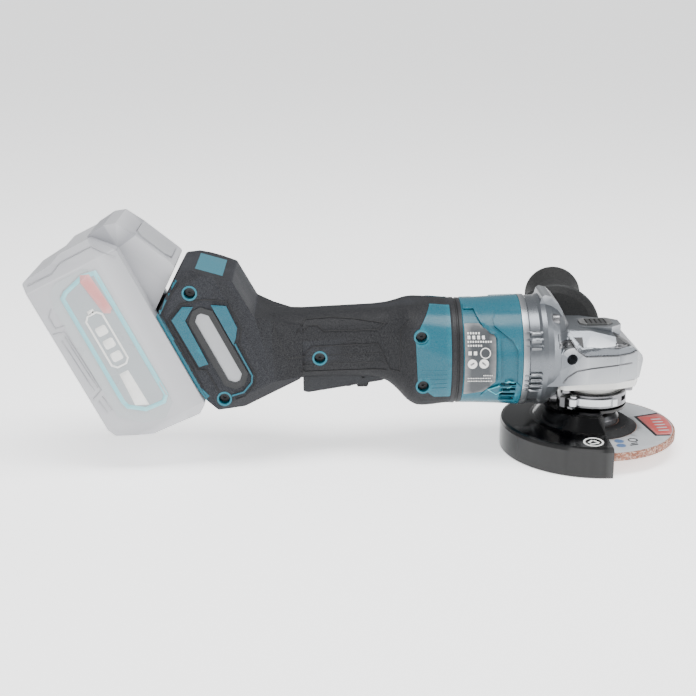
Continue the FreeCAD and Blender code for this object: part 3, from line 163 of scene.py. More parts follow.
# "grain" is the size in millimetres of the fine texture and "mottle" that of the slow changes of
# tone. Moulding and blasting textures are really 0.05 to 0.3 mm, and are drawn coarser to show.
looks = {
    # Die-cast alloy, blasted and lacquered: a pale, soft metal sheen over a fine sand texture.
    "cast_aluminium": {"colour": "#64686d", "metal": 0.75, "rough": 0.3, "grain": 0.5, "mottle": 22,
                       "depth": 0.05, "relief": 0.35, "wearAndHighlight": 0.35, "spread": 0.05,
                       "wearAndHighlightColour": "#e8eaec"},
    # Bare die-cast cover: nearly white, more matt, so the pale ring under the head stands out.
    "pale_cast": {"colour": "#d4d4d0", "metal": 0.35, "rough": 0.5, "grain": 0.5, "mottle": 16,
                  "depth": 0.06, "relief": 0.4, "wearAndHighlight": 0.2, "spread": 0.04},
    # Glass-filled nylon, spark-eroded mould: deep black with a broad soft highlight.
    "black_plastic": {"colour": "#08090a", "rough": 0.38, "grain": 0.4, "mottle": 14, "depth": 0.04,
                      "relief": 0.35, "wearAndHighlight": 0.12, "wearAndHighlightColour": "#5a5c60", "specular": 0.2},
    # Black-oxide steel: dark with a tight metallic glint.
    "dark_steel": {"colour": "#232427", "metal": 0.9, "rough": 0.32, "grain": 0.25, "mottle": 5,
                   "depth": 0.02, "relief": 0.3, "wearAndHighlight": 0.4, "wearAndHighlightColour": "#b8b8bb"},
    # Turned and ground steel: fine lines run round and along the part and streak its highlight.
    "bright_steel": {"colour": "#9a9ca0", "metal": 1.0, "rough": 0.24, "grain": 0.3, "mottle": 9,
                     "depth": 0.02, "relief": 0.3, "stretch": (1, 1, 6), "wearAndHighlight": 0.3,
                     "brushed": 0.4},
    # Laminated silicon steel: grey-blue with thin stacked lines.
    "silicon_steel": {"colour": "#6d7178", "metal": 0.9, "rough": 0.42, "grain": 0.5, "mottle": 10,
                      "depth": 0.05, "relief": 0.6, "stretch": (8, 1, 1), "wearAndHighlight": 0.2},
    # Nickel-plated sintered magnet: smooth, faintly yellow grey.
    "magnet": {"colour": "#8d8d88", "metal": 0.9, "rough": 0.3, "grain": 0.6, "mottle": 8,
               "depth": 0.02},
    # Moulded teal plastic, semi-gloss: clean colour and a soft window of light along its top.
    "teal_plastic": {"colour": "#005263", "rough": 0.24, "grain": 0.6, "mottle": 30, "depth": 0.02,
                     "relief": 0.22, "wearAndHighlight": 0.18, "wearAndHighlightColour": "#2a9db0", "spread": 0.05,
                     "specular": 0.22},
    # Printed aluminium plate: flat dark grey with a slight brushed grain.
    "grey_plate": {"colour": "#303438", "metal": 0.3, "rough": 0.42, "grain": 0.35, "mottle": 12,
                   "depth": 0.015, "stretch": (1, 1, 5), "wearAndHighlight": 0.25},
    # Enamelled copper wire: orange, glossy, wound in fine strands.
    "copper_wire": {"colour": "#b5652e", "metal": 0.8, "rough": 0.25, "grain": 0.8, "mottle": 6,
                    "depth": 0.2, "relief": 0.9, "stretch": (1, 4, 4), "coat": 0.5, "wearAndHighlight": 0.2,
                    "wearAndHighlightColour": "#ffb27a"},
    # Hard charcoal plastic, smooth moulded: slightly shinier than the grip beside it.
    "charcoal_plastic": {"colour": "#08090d", "rough": 0.42, "grain": 0.4, "mottle": 16,
                         "depth": 0.04, "relief": 0.4, "wearAndHighlight": 0.15, "wearAndHighlightColour": "#4a4e56",
                         "specular": 0.16},
    # Painted steel guard: thick black paint that mirrors the room, with a faint orange peel.
    "guard_black": {"colour": "#010102", "rough": 0.16, "grain": 2.6, "mottle": 20, "depth": 0.04,
                    "relief": 0.18, "coat": 0.08, "coatRough": 0.06, "wearAndHighlight": 0.3,
                    "wearAndHighlightColour": "#777777", "speck": 0.0, "specular": 0.25},
    # Moulded rubber handle: matt black with a very fine pebble.
    "black_rubber": {"colour": "#060607", "rough": 0.55, "grain": 0.5, "mottle": 12, "depth": 0.06,
                     "relief": 0.55, "wearAndHighlight": 0.1, "wearAndHighlightColour": "#55565a", "specular": 0.2},
    # Soft overmoulded grip: blue-black, matt, with a leathery pebble that breaks the highlights.
    "charcoal_grip": {"colour": "#0b0c11", "rough": 0.58, "grain": 0.55, "mottle": 26,
                      "depth": 0.09, "relief": 0.65, "wearAndHighlight": 0.12, "wearAndHighlightColour": "#50545e",
                      "spread": 0.07, "specular": 0.1},
    # Fine steel dust mesh: too fine to draw thread by thread, so a satin grey metal with a grain.
    "mesh_grey": {"colour": "#8c8e92", "metal": 0.6, "rough": 0.4, "grain": 0.3, "mottle": 8,
                  "depth": 0.1},
    # Printed film on the battery: pale blue-grey, faint gloss.
    "battery_label_film": {"colour": "#9da3a6", "rough": 0.3, "grain": 0.3, "mottle": 18,
                           "depth": 0.01, "relief": 0.15, "wearAndHighlight": 0.2, "coat": 0.2},
    # Brass contact blades: warm yellow, lightly polished.
    "brass_contact": {"colour": "#c9a24a", "metal": 1.0, "rough": 0.28, "grain": 0.3, "mottle": 5,
                      "depth": 0.02},
    # Lacquered circuit board: dark green with tiny joints.
    "board_green": {"colour": "#1f5a3a", "rough": 0.35, "grain": 1.2, "mottle": 6, "depth": 0.1,
                    "speck": 0.3, "speckColour": "#d8d8c0"},
    # Black lead insulation: slightly waxy.
    "lead_black": {"colour": "#141416", "rough": 0.4, "grain": 0.6, "mottle": 6, "depth": 0.02},
    # Pale grey moulded battery shell: satin, faintly textured.
    "battery_grey": {"colour": "#8f9095", "rough": 0.42, "grain": 0.5, "mottle": 30, "depth": 0.05,
                     "relief": 0.35, "wearAndHighlight": 0.35, "wearAndHighlightColour": "#f4f4f6", "spread": 0.04},
    # Cell sleeves: shrink film with a soft gloss.
    "cell_wrap": {"colour": "#7d9a4a", "rough": 0.3, "grain": 0.5, "mottle": 9, "depth": 0.02},
    # Release button plastic: the same grey, a tone darker.
    "battery_button_grey": {"colour": "#7c7e84", "rough": 0.42, "grain": 0.5, "mottle": 10,
                            "depth": 0.05, "wearAndHighlight": 0.3},
    # Dark satin ink, also used as painted shadow in narrow grooves: no highlight of its own.
    "dark_ink": {"colour": "#0a0b0e", "rough": 0.6, "grain": 0.4, "mottle": 8, "depth": 0.02,
                 "specular": 0.15, "wearAndHighlight": 0.0},
    # Glossy black thumb button: near mirror, so it shows one crisp highlight.
    "gloss_black": {"colour": "#010101", "rough": 0.12, "grain": 1.5, "mottle": 6, "depth": 0.01,
                    "specular": 0.22},
    # Screws deep in their sockets: black oxide, painted darker than the other dark steel as painted
    # shade of the sockets.
    "screw_in_painted_shade": {"colour": "#0e0f11", "metal": 0.7, "rough": 0.4, "grain": 0.25, "mottle": 4,
                   "depth": 0.02, "wearAndHighlightColour": "#4a4b4e"},
    # Screen-printed white ink: even and matt, so it reads as flat print.
    "white_ink": {"colour": "#e9e9e6", "rough": 0.45, "grain": 0.4, "mottle": 8, "depth": 0.01,
                  "wearAndHighlight": 0.0},
    # A lighter teal as a painted highlight along sharp moulded edges.
    "teal_edge": {"colour": "#1f93a2", "rough": 0.28, "grain": 0.6, "mottle": 12, "depth": 0.01},
    # Red ink printed on paper: dull and slightly uneven, as the fibres take it up.
    "red_ink": {"colour": "#b23a36", "rough": 0.5, "grain": 0.5, "mottle": 6, "depth": 0.01},
    # Blue-grey ink printed on paper: dull, a little darker than the paper round it.
    "blue_ink": {"colour": "#44618a", "rough": 0.5, "grain": 0.5, "mottle": 6, "depth": 0.01},
    # Screen-printed pale teal ink: the thin satin band round the battery panel.
    "pale_teal_ink": {"colour": "#7fc4cc", "rough": 0.35, "grain": 0.4, "mottle": 10,
                      "depth": 0.01},
    # Screen-printed faded red ink: a soft accent on the battery panel.
    "pale_red_ink": {"colour": "#cf8583", "rough": 0.35, "grain": 0.4, "mottle": 8, "depth": 0.01},
    # Printed paper disc: grey with fibres, matt.
    "wheel_paper": {"colour": "#a3a6a9", "rough": 0.62, "grain": 0.5, "mottle": 9, "depth": 0.04,
                    "relief": 0.4, "spread": 0.1, "wearAndHighlight": 0.1},
}


# Bonded grit: red-brown resin with grey and glassy grains. Real grains are about half a millimetre
# across and would be lost in the render, so they are drawn a little coarser.
grit = {"grain": 0.8, "tone": 4, "depth": 0.25, "rough": 0.75, "dark": "#6a3a2c",
        "light": "#a06a52", "glint": "#c7b4a6"}


def abrasive():
    made, tree = newTree("abrasive")
    place = addNode(tree, "ShaderNodeTexCoord").outputs["Object"]
    cells = addNode(tree, "ShaderNodeTexVoronoi", {"Scale": scaleFor(grit["grain"])},
                    {"Vector": place})
    tone = addNode(tree, "ShaderNodeTexNoise", {"Scale": scaleFor(grit["tone"]), "Detail": 4.0},
                   {"Vector": place}).outputs["Fac"]
    shine = ranged(tree, cells.outputs["Distance"], 1.0, 0.0, 0.1, 0.5)
    dull = blended(tree, ranged(tree, tone, 0.0, 1.0), linear(grit["dark"]), linear(grit["light"]))
    grains = addNode(tree, "ShaderNodeTexWhiteNoise", {"noise_dimensions": "3D"},
                     {"Vector": cells.outputs["Position"]})
    pale = blended(tree, ranged(tree, grains.outputs["Value"], 0.0, 0.8, 0.45, 1.0), dull,
                   linear(grit["glint"]))
    relief = addNode(tree, "ShaderNodeBump", {"Strength": 0.8, "Distance": mm(grit["depth"])},
                     {"Height": shine})
    shader = addNode(tree, "ShaderNodeBsdfPrincipled", {"Roughness": grit["rough"]},
                     {"Base Color": pale, "Normal": relief.outputs["Normal"]})
    finishTree(tree, shader.outputs["BSDF"])
    return made


materials = {name: surface(name, look) for name, look in looks.items()}
materials["abrasive"] = abrasive()
print("materials made:", len(materials))


# Each CAD node takes the finish of its slot, and a few take a closer match of their own.
# The handle screws take a darker finish: painted shade of their sockets.
ownFinish = {"bearing_box": "pale_cast", "handle_screws": "screw_in_painted_shade",
             "spindle_lock_button": "gloss_black", "clamp_band": "dark_steel",
             "inner_flange": "dark_steel", "name_plates": "grey_plate"}
slotOf = {part["node"]: part["material_slot"] for part in frame["record"]["subparts"]}


def paint(piece, name):
    piece.data.materials.clear()
    piece.data.materials.append(materials[name])


# Moulded and cast pieces get rounded edges, so every edge carries a thin highlight.
edgeRadius = {"cast_aluminium": 0.5, "black_plastic": 0.4, "teal_plastic": 0.6,
              "charcoal_plastic": 0.5, "guard_black": 0.5, "charcoal_grip": 0.9,
              "battery_grey": 0.9, "battery_button_grey": 0.6, "bright_steel": 0.25,
              "dark_steel": 0.25, "grey_plate": 0.15, "black_rubber": 0.6}


def softenEdges(piece, radius, angle=35):
    bevel = piece.modifiers.new("edge radius", "BEVEL")
    bevel.width = mm(radius)
    bevel.segments = 2
    bevel.limit_method = "ANGLE"
    bevel.angle_limit = math.radians(angle)
    bevel.use_clamp_overlap = True
    bevel.harden_normals = False


for name, piece in nodes.items():
    paint(piece, ownFinish.get(name, slotOf[name]))
    if slotOf[name] in edgeRadius:
        softenEdges(piece, edgeRadius[slotOf[name]])
print("CAD nodes painted")


# One skin out of one or more CAD nodes, for shapes to be laid on.
def surfaceOf(*names):
    verts, faces = [], []
    for name in names:
        mesh = nodes[name].data
        start = len(verts)
        verts += [v.co.copy() for v in mesh.vertices]
        faces += [[start + i for i in polygon.vertices] for polygon in mesh.polygons]
    return BVHTree.FromPolygons(verts, faces)


# A ray starts outside the tool and runs towards it: "near" and "far" along Y, "top" down Z.
rays = {"near": (Vector((0, 1, 0)), lambda u, v: at(u, -200, v)),
        "far": (Vector((0, -1, 0)), lambda u, v: at(u, 200, v)),
        "top": (Vector((0, 0, -1)), lambda u, v: at(u, v, 300))}


def cutFine(mesh, cell, u, v):
    for axis, low, high in ((0, min(u), max(u)), (1, min(v), max(v))):
        normal = Vector((1, 0, 0)) if axis == 0 else Vector((0, 1, 0))
        count = int((high - low) / cell)
        for i in range(1, count + 1):
            place = low + (high - low) * i / (count + 1)
            geometry = mesh.verts[:] + mesh.edges[:] + mesh.faces[:]
            bmesh.ops.bisect_plane(mesh, geom=geometry, plane_co=normal * place, plane_no=normal,
                                   dist=1e-6)


# Lays flat polygons, given in millimetres, on a surface and gives them thickness.
def lay(name, polygons, side, skin, finish, body, lift=0.15, thick=0.5, cell=2.5, edge=0.12):
    mesh = bmesh.new()
    for polygon in polygons:
        corners = [mesh.verts.new((u, v, 0)) for u, v in polygon]
        mesh.faces.new(corners)
    bmesh.ops.triangulate(mesh, faces=mesh.faces[:])
    cutFine(mesh, cell, [p[0] for q in polygons for p in q], [p[1] for q in polygons for p in q])
    bmesh.ops.remove_doubles(mesh, verts=mesh.verts[:], dist=0.01)
    ray, start = rays[side]
    missed = []
    for vert in mesh.verts:
        origin = start(vert.co.x, vert.co.y)
        hit = skin.ray_cast(origin, ray)[0]
        if hit is None:
            missed.append(vert)
        else:
            vert.co = hit - ray * mm(lift)
    if missed:
        bmesh.ops.delete(mesh, geom=missed, context="VERTS")
    for face in mesh.faces:
        if face.normal.dot(ray) > 0:
            face.normal_flip()
    data = bpy.data.meshes.new(name)
    mesh.to_mesh(data)
    mesh.free()
    piece = bpy.data.objects.new(name, data)
    bpy.context.collection.objects.link(piece)
    for polygon in data.polygons:
        polygon.use_smooth = True
    solid = piece.modifiers.new("thickness", "SOLIDIFY")
    solid.thickness = mm(thick)
    solid.offset = -1
    if edge:
        softenEdges(piece, edge, 50)
    data.materials.append(materials[finish])
    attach(piece, body)
    return piece


# Turns an open line into a band of even width.
def band(points, width, closed=False):
    pts = [Vector(p) for p in points]
    count = len(pts)
    left, right = [], []
    for i, point in enumerate(pts):
        before = pts[i - 1] if i or closed else point
        after = pts[(i + 1) % count] if i < count - 1 or closed else point
        ways = [d.normalized() for d in (point - before, after - point) if d.length > 0]
        along = sum(ways, Vector((0, 0))).normalized()
        across = Vector((-along.y, along.x))
        stretch = 1 / max(0.4, across.dot(Vector((-ways[0].y, ways[0].x))))
        left.append(point + across * width / 2 * stretch)
        right.append(point - across * width / 2 * stretch)
    steps = range(count) if closed else range(count - 1)
    return [[left[i], left[(i + 1) % count], right[(i + 1) % count], right[i]] for i in steps]


def oblong(x, y, length, height, turn=0.0, tip=0.0):
    c, s = math.cos(turn), math.sin(turn)
    half, tall = length / 2, height / 2
    corners = [(-half + tip, -tall), (half - tip, -tall), (half, -tall + tip), (half, tall - tip),
               (half - tip, tall), (-half + tip, tall), (-half, tall - tip), (-half, -tall + tip)]
    if not tip:
        corners = [(-half, -tall), (half, -tall), (half, tall), (-half, tall)]
    return [(x + c * u - s * v, y + s * u + c * v) for u, v in corners]


def disc(x, y, radius, steps=24, squash=1.0):
    return [(x + radius * math.cos(2 * math.pi * i / steps),
             y + radius * squash * math.sin(2 * math.pi * i / steps)) for i in range(steps)]


def hoop(x, y, radius, width, steps=28):
    return band(disc(x, y, radius, steps), width, closed=True)


# Both sides of the tool carry the same moulded lines, so most shapes are laid on both.
def layBoth(name, polygons, *rest, **more):
    lay(name + ".near", polygons, "near", *rest, **more)
    lay(name + ".far", polygons, "far", *rest, **more)


# Grip: engraved outline and palm grooves, drawn as dark bands of painted shade, and dark lines
# where the overmould meets the shell.
grip = {"line": 0.7}
gripSkin = surfaceOf("left_handle_shell", "right_handle_shell")
gripLines = {
    "grip_window": [(-220.1, 77.2), (-213.7, 85.5), (-195.8, 86.5), (-179.1, 85.9), (-155.8, 83.2),
                    (-161.8, 78.8), (-200.7, 78.1), (-204.8, 81.9), (-211.4, 81.8), (-215.3, 78.1)],
    "grip_panel": [(-214.1, 61.8), (-209.0, 67.0), (-161.2, 68.5), (-153.0, 49.2), (-146.1, 49.1)],
    "grip_groove_upper": [(-226.2, 59.5), (-160.0, 61.5)],
    "grip_groove_middle": [(-216.7, 52.8), (-157.6, 54.9)],
    "grip_groove_lower": [(-218.0, 51.8), (-214.4, 47.3), (-155.8, 48.9)],
    "rear_parting": [(-236.2, 92.3), (-235.3, 80.9), (-226.8, 60.1), (-214.2, 60.3)],
    "front_parting": [(-128.6, 97.3), (-145.2, 80.7), (-146.3, 50.7)],
}
for lineName, points in gripLines.items():
    layBoth(lineName, band(points, grip["line"]), gripSkin, "dark_ink", "body", lift=0.12,
            thick=0.4, edge=0)

# Rear teal panel: shallow level ribs.
panelSkin = surfaceOf("rear_panels")
rearPanel = {"ribX": -121.5, "ribLength": 18.0, "ribHeight": 1.1,
             "ribRows": (52.0, 48.5, 45.0, 41.5, 38.0)}
for row, z in enumerate(rearPanel["ribRows"]):
    rib = oblong(rearPanel["ribX"], z, rearPanel["ribLength"], rearPanel["ribHeight"])
    layBoth("panel_rib_%d" % row, [rib], panelSkin, "teal_plastic", "body", lift=0.25, thick=0.5)
print("grip and rear panel lines laid")

# Motor housing: raised shoulder, sweep beside the plate, chin and lower hook.
housing = {"shoulder": 1.5, "sweepWidth": 2.2, "hookWidth": 0.7}
housingSkin = surfaceOf("motor_housing")
shoulder = [(-59.0, 91.0), (-76.5, 91.0), (-79.5, 87.0), (-78.6, 82.5), (-66.3, 73.5),
            (-62.5, 67.0), (-62.0, 42.5), (-59.0, 40.0)]
layBoth("housing_shoulder", [shoulder], housingSkin, "teal_plastic", "body",
        lift=0.5 + housing["shoulder"] / 2, thick=housing["shoulder"], cell=2.0, edge=0.7)
sweep = [(-99.9, 92.6), (-91.9, 92.6), (-89.6, 88.2), (-86.0, 82.9), (-77.6, 77.4), (-75.8, 74.8),
         (-75.4, 44.0)]
layBoth("housing_sweep", band(sweep, housing["sweepWidth"]), housingSkin, "teal_plastic", "body",
        lift=0.9, thick=1.3, cell=1.5, edge=0.5)
chin = [(-62.0, 41.9), (-68.5, 43.9), (-76.8, 39.2), (-83.4, 37.0), (-87.6, 30.4), (-80.9, 24.2),
        (-59.0, 21.5), (-59.0, 38.0)]
layBoth("housing_chin", [chin], housingSkin, "teal_plastic", "body", lift=0.9, thick=1.3, cell=2.0,
        edge=0.6)
hook = [(-82.8, 36.4), (-76.6, 38.9), (-68.3, 43.6), (-62.9, 41.8), (-76.7, 31.9)]
# A band of lighter teal round the hook's rim: a painted highlight.
layBoth("housing_hook", band(hook, housing["hookWidth"], closed=True), housingSkin, "teal_edge",
        "body", lift=2.0, thick=0.5, cell=1.5)
layBoth("housing_hook_floor", [hook], housingSkin, "teal_plastic", "body", lift=1.6, thick=0.6,
        cell=1.5, edge=0)

# Name plate: neutral rows of dashes and plain round marks.
plate = {"lift": 0.14, "thick": 0.2, "ringRadius": 3.5, "ringLine": 0.6, "discRadius": 3.4}
plateSkin = surfaceOf("name_plates")
rows = [(-98.4, 78.1, 10.0, 1.3), (-98.4, 75.4, 14.6, 2.3), (-98.4, 72.6, 17.6, 1.2),
        (-98.2, 70.0, 11.6, 1.2), (-98.0, 64.8, 6.8, 2.6), (-97.9, 45.9, 17.0, 0.8),
        (-97.9, 43.6, 17.8, 0.8), (-86.9, 48.2, 7.0, 0.8)]
marks = []
for left, z, length, height in rows:
    reach = 0.0
    step = height * 1.5
    while reach + step * 0.7 < length:
        marks.append(oblong(left + reach + step * 0.35, z, step * 0.6, height))
        reach += step
plateRing = hoop(-85.6, 64.8, plate["ringRadius"], plate["ringLine"])
plateDiscs = [disc(-94.8, 57.0, plate["discRadius"]), disc(-86.6, 57.2, plate["discRadius"])]
for markName, shapes in (("plate_rows", marks), ("plate_ring", plateRing),
                         ("plate_discs", plateDiscs)):
    layBoth(markName, shapes, plateSkin, "white_ink", "body", lift=plate["lift"],
            thick=plate["thick"], edge=0)
discBars = [oblong(-94.8, 57.0, 3.2, 1.2, 0.6), oblong(-86.6, 57.2, 3.6, 1.2, -0.7)]
layBoth("plate_disc_bars", discBars, plateSkin, "grey_plate", "body", lift=0.26,
        thick=plate["thick"], edge=0)
print("motor housing and plate done")

# Gear head: ribs on the collar, ledge over the side wall with a painted shadow line under it,
# recesses covered by dark sheets of painted shade, and the arc line.
head = {"ribX": -50.6, "ribLength": 12.8, "ribHeight": 1.5,
        "ribRows": (78.3, 73.9, 69.5, 47.4, 43.2, 39.3, 35.6), "arcLine": 0.9, "ledgeShadow": 0.8,
        "ledgeLift": 0.9, "ledgeThick": 1.6}
headSkin = surfaceOf("gear_housing", "head_side_panels")
for row, z in enumerate(head["ribRows"]):
    rib = oblong(head["ribX"], z, head["ribLength"], head["ribHeight"], 0.0, 0.5)
    layBoth("collar_rib_%d" % row, [rib], headSkin, "cast_aluminium", "body",
            lift=0.7, thick=1.1, cell=2.0, edge=0.35)
arc = [(-28.5, 40.4), (-25.6, 44.4), (-18.8, 48.6), (-8.0, 50.0), (12.4, 51.6), (23.5, 51.0)]
layBoth("head_arc_line", band(arc, head["arcLine"]), headSkin, "dark_steel", "body", lift=0.12,
        thick=0.3, cell=2.0, edge=0)
ledgeTop = [(-32.5, 76.2), (-23.5, 76.0), (-19.1, 70.4), (-15.3, 65.9), (-6.9, 66.0), (7.6, 64.3),
            (22.0, 64.7), (26.4, 60.9)]
ledgeLow = [(-32.3, 71.2), (-22.7, 70.4), (-19.5, 64.7), (-12.6, 59.4), (22.4, 58.9), (26.4, 60.4)]
layBoth("head_ledge", [ledgeTop + ledgeLow[::-1]], headSkin, "cast_aluminium", "body",
        lift=head["ledgeLift"], thick=head["ledgeThick"], cell=2.0, edge=0.5)
# A dark band under the ledge: painted shadow.
layBoth("head_ledge_shadow", band(ledgeLow[1:], head["ledgeShadow"]), headSkin, "dark_steel", "body",
        lift=1.2, thick=0.5, cell=2.0, edge=0)
# Dark sheets over the recesses: painted shade.
recessBack = [(-32.3, 70.6), (-23.2, 70.2), (-25.1, 66.0), (-32.1, 66.0)]
recessFront = [(9.4, 68.4), (21.4, 66.9), (22.8, 64.9), (8.6, 64.9)]
layBoth("head_recess_shade_back", [recessBack], headSkin, "dark_steel", "body", lift=0.15, thick=0.3,
        edge=0)
layBoth("head_recess_shade_front", [recessFront], headSkin, "dark_steel", "body", lift=1.15, thick=0.3,
        edge=0)
print("gear head details laid")

# Battery base: teal inlays round the dust filters, the groove beside them drawn as a dark band of
# painted shade, and the rear edge.
base = {"line": 1.2, "groove": 1.0, "edge": 2.6, "rearLine": 0.6}
# The rail's middle in millimetres, and its two directions, all as X and Z.
railOrigin, railUp, railOut = (-304.7, 67.1), (-0.446, 0.895), (-0.895, -0.446)


# A point along and out from the battery rail, as X and Z.
def fromRail(points):
    return [(railOrigin[0] + s * railUp[0] + n * railOut[0],
             railOrigin[1] + s * railUp[1] + n * railOut[1]) for s, n in points]


baseSkin = surfaceOf("left_handle_shell", "right_handle_shell", "filter_frames", "screw_rings",
                     "handle_screws")
leftInlay = [(23.2, -8.6), (28.3, -19.8), (24.9, -26.6), (18.6, -16.9), (-17.0, -16.0),
             (-15.8, -9.2)]
rightInlay = [(20.4, -38.4), (14.8, -47.6), (-2.6, -46.9), (-8.6, -42.8), (-12.8, -38.6),
              (16.2, -38.5)]
layBoth("inlay_left", [fromRail(leftInlay)], baseSkin, "teal_plastic", "body", lift=0.5, thick=0.8,
        edge=0.25)
layBoth("inlay_right", [fromRail(rightInlay)], baseSkin, "teal_plastic", "body", lift=0.5,
        thick=0.8, edge=0.25)
runner = [(-12.4, -39.8), (-39.0, -39.6), (-43.4, -36.8), (-47.2, -28.4), (-45.6, -19.6)]
layBoth("inlay_runner", band(fromRail(runner), base["line"]), baseSkin, "teal_plastic", "body",
        lift=0.4, thick=0.6, edge=0.2)
# The grooves are dark bands laid on the surface: painted shade.
outerGroove = [(17.0, -50.0), (26.0, -36.0), (30.6, -19.8), (24.6, -6.8), (-17.2, -7.2),
               (-20.4, -12.6), (-38.0, -12.8)]
layBoth("base_groove", band(fromRail(outerGroove), base["groove"]), baseSkin, "dark_ink", "body",
        lift=0.12, thick=0.3, edge=0)
lowerGroove = [(17.0, -50.0), (-5.2, -49.0), (-14.6, -42.2), (-40.4, -41.8), (-46.4, -37.6),
               (-50.6, -27.6), (-49.6, -20.6)]
layBoth("base_groove_lower", band(fromRail(lowerGroove), base["groove"]), baseSkin, "dark_ink",
        "body", lift=0.12, thick=0.3, edge=0)
badge = fromRail(oblong(5.4, -42.2, 18.0, 4.6, 0.03, 1.2))
layBoth("inlay_badge", [badge], gripSkin, "charcoal_plastic",
        "body", lift=0.62, thick=0.4, edge=0)
rearEdge = [(47.2, -24.6), (43.6, -18.4), (31.2, -2.2), (-30.6, -1.6), (-38.8, -4.0)]
layBoth("rear_edge", band(fromRail(rearEdge), base["edge"]), baseSkin, "teal_plastic", "body",
        lift=0.45, thick=0.8, edge=0.25)
rearLine = [(44.8, -25.4), (41.0, -19.4), (29.6, -4.6), (-31.2, -4.0)]
layBoth("rear_edge_line", band(fromRail(rearLine), base["rearLine"]), baseSkin, "dark_ink", "body",
        lift=0.5, thick=0.3, edge=0)
print("base details laid")

# Battery: printed panel with plain marks, darker grey lines of painted shade along its slots, step
# and ribs, and the line where its halves meet.
pack = {"band": 3.2, "line": 0.7, "cellLine": 1.4, "insetX": 0.95, "insetZ": 0.965}
packSkin = surfaceOf("battery_cover", "battery_case", "battery_labels")
panel = [(-383.8, 110.5), (-381.5, 114.7), (-368.2, 126.7), (-359.1, 129.4), (-311.9, 36.6),
         (-313.6, 31.0), (-327.4, 25.2), (-340.8, 27.3), (-344.2, 31.1)]
middle = (sum(p[0] for p in panel) / len(panel), sum(p[1] for p in panel) / len(panel))
inner = [(middle[0] + (x - middle[0]) * pack["insetX"],
          middle[1] + (z - middle[1]) * pack["insetZ"]) for x, z in panel]
layBoth("panel_film", [panel], packSkin, "battery_label_film", "battery", lift=0.12, thick=0.3,
        cell=6, edge=0)
layBoth("panel_band", band(inner, pack["band"], closed=True), packSkin, "pale_teal_ink", "battery",
        lift=0.3, thick=0.25, cell=6, edge=0)
hexagon = [(81.2, 31.3), (78.9, 25.4), (50.5, 23.5), (47.8, 26.2), (49.9, 30.3), (76.9, 33.8)]
layBoth("panel_hexagon", [fromRail(hexagon)], packSkin, "pale_red_ink", "battery", lift=0.45,
        thick=0.25, cell=6, edge=0)
hexagonBars = [fromRail(oblong(s, 28.6, 2.0, 5.0, 0.35)) for s in (57.0, 64.5, 72.0)]
layBoth("panel_hexagon_bars", hexagonBars, packSkin, "white_ink", "battery", lift=0.6, thick=0.2,
        edge=0)
cellMark = band(fromRail(oblong(32.0, 38.0, 42.0, 13.0, 0.0, 3.0)), pack["cellLine"], closed=True)
cellMark += [fromRail(oblong(s, 38.0, 7.0, 8.0, 0.0, 1.0)) for s in (18.5, 29.0, 39.5)]
cellMark.append(fromRail(oblong(55.0, 38.0, 2.6, 5.0)))
layBoth("panel_cell_mark", cellMark, packSkin, "white_ink", "battery", lift=0.45, thick=0.25,
        cell=6, edge=0)
whiteBar = [(6.0, 36.0), (6.0, 43.0), (-19.4, 44.6), (-23.6, 35.4)]
layBoth("panel_white_bar", [fromRail(whiteBar)], packSkin, "white_ink", "battery", lift=0.45,
        thick=0.25, cell=6, edge=0)
packLines = {
    "pack_slot_box": [(69.3, 61.6), (64.7, 66.0), (55.4, 66.3), (54.2, 59.2)],
    "pack_step": [(52.7, 70.0), (50.6, 61.8), (1.6, 60.2), (-2.0, 69.0)],
    "pack_rib_inner": [(47.6, 63.6), (4.0, 62.0)],
    "pack_rib_outer": [(46.4, 66.6), (3.0, 65.2)],
    "pack_slot_upper": [(-3.0, 62.2), (-15.4, 61.6)],
    "pack_slot_lower": [(-4.6, 66.0), (-15.4, 65.2)],
    "pack_front_line": [(91.0, 68.0), (90.6, 49.1), (94.5, 40.4), (94.8, 15.4), (81.0, 3.2)],
}
# Darker grey lines: painted shade along the slots, step and ribs, and the line where the halves
# meet.
for lineName, points in packLines.items():
    layBoth(lineName, band(fromRail(points), pack["line"]), packSkin, "battery_button_grey",
            "battery", lift=0.12, thick=0.3, cell=6, edge=0)
print("battery details laid")

# Guard: a plain round mark on the top face.
guardSkin = surfaceOf("guard_shell")
guardMark = {"x": -9.0, "y": -55.5, "radius": 6.6, "line": 1.4}
markX, markY = guardMark["x"], guardMark["y"]
lay("guard_mark_ring", hoop(markX, markY, guardMark["radius"], guardMark["line"], 36), "top",
    guardSkin, "white_ink", "guard", lift=0.1, thick=0.15, edge=0)
strokes = [oblong(markX - 2.0, markY + 1.0, 5.0, 1.6, 0.9),
           oblong(markX + 2.2, markY + 0.5, 5.4, 1.6, -0.9),
           oblong(markX, markY - 2.8, 6.4, 1.4, 0.2)]
lay("guard_mark_strokes", strokes, "top", guardSkin, "white_ink", "guard", lift=0.1, thick=0.15,
    edge=0)

# Wheel: paper to the rim, dark pressed hub, one red field and small plain marks.
wheel = {"paperOut": 60.8, "paperIn": 34.6, "hubOut": 34.2, "hubIn": 21.2, "border": 2.0,
         "blueRadius": 3.6, "greyRadius": 3.2, "greyLine": 1.0}
wheelSkin = surfaceOf("grinding_wheel")


def ring(outer, inner, steps=72):
    return hoop(0, 0, (outer + inner) / 2, outer - inner, steps)


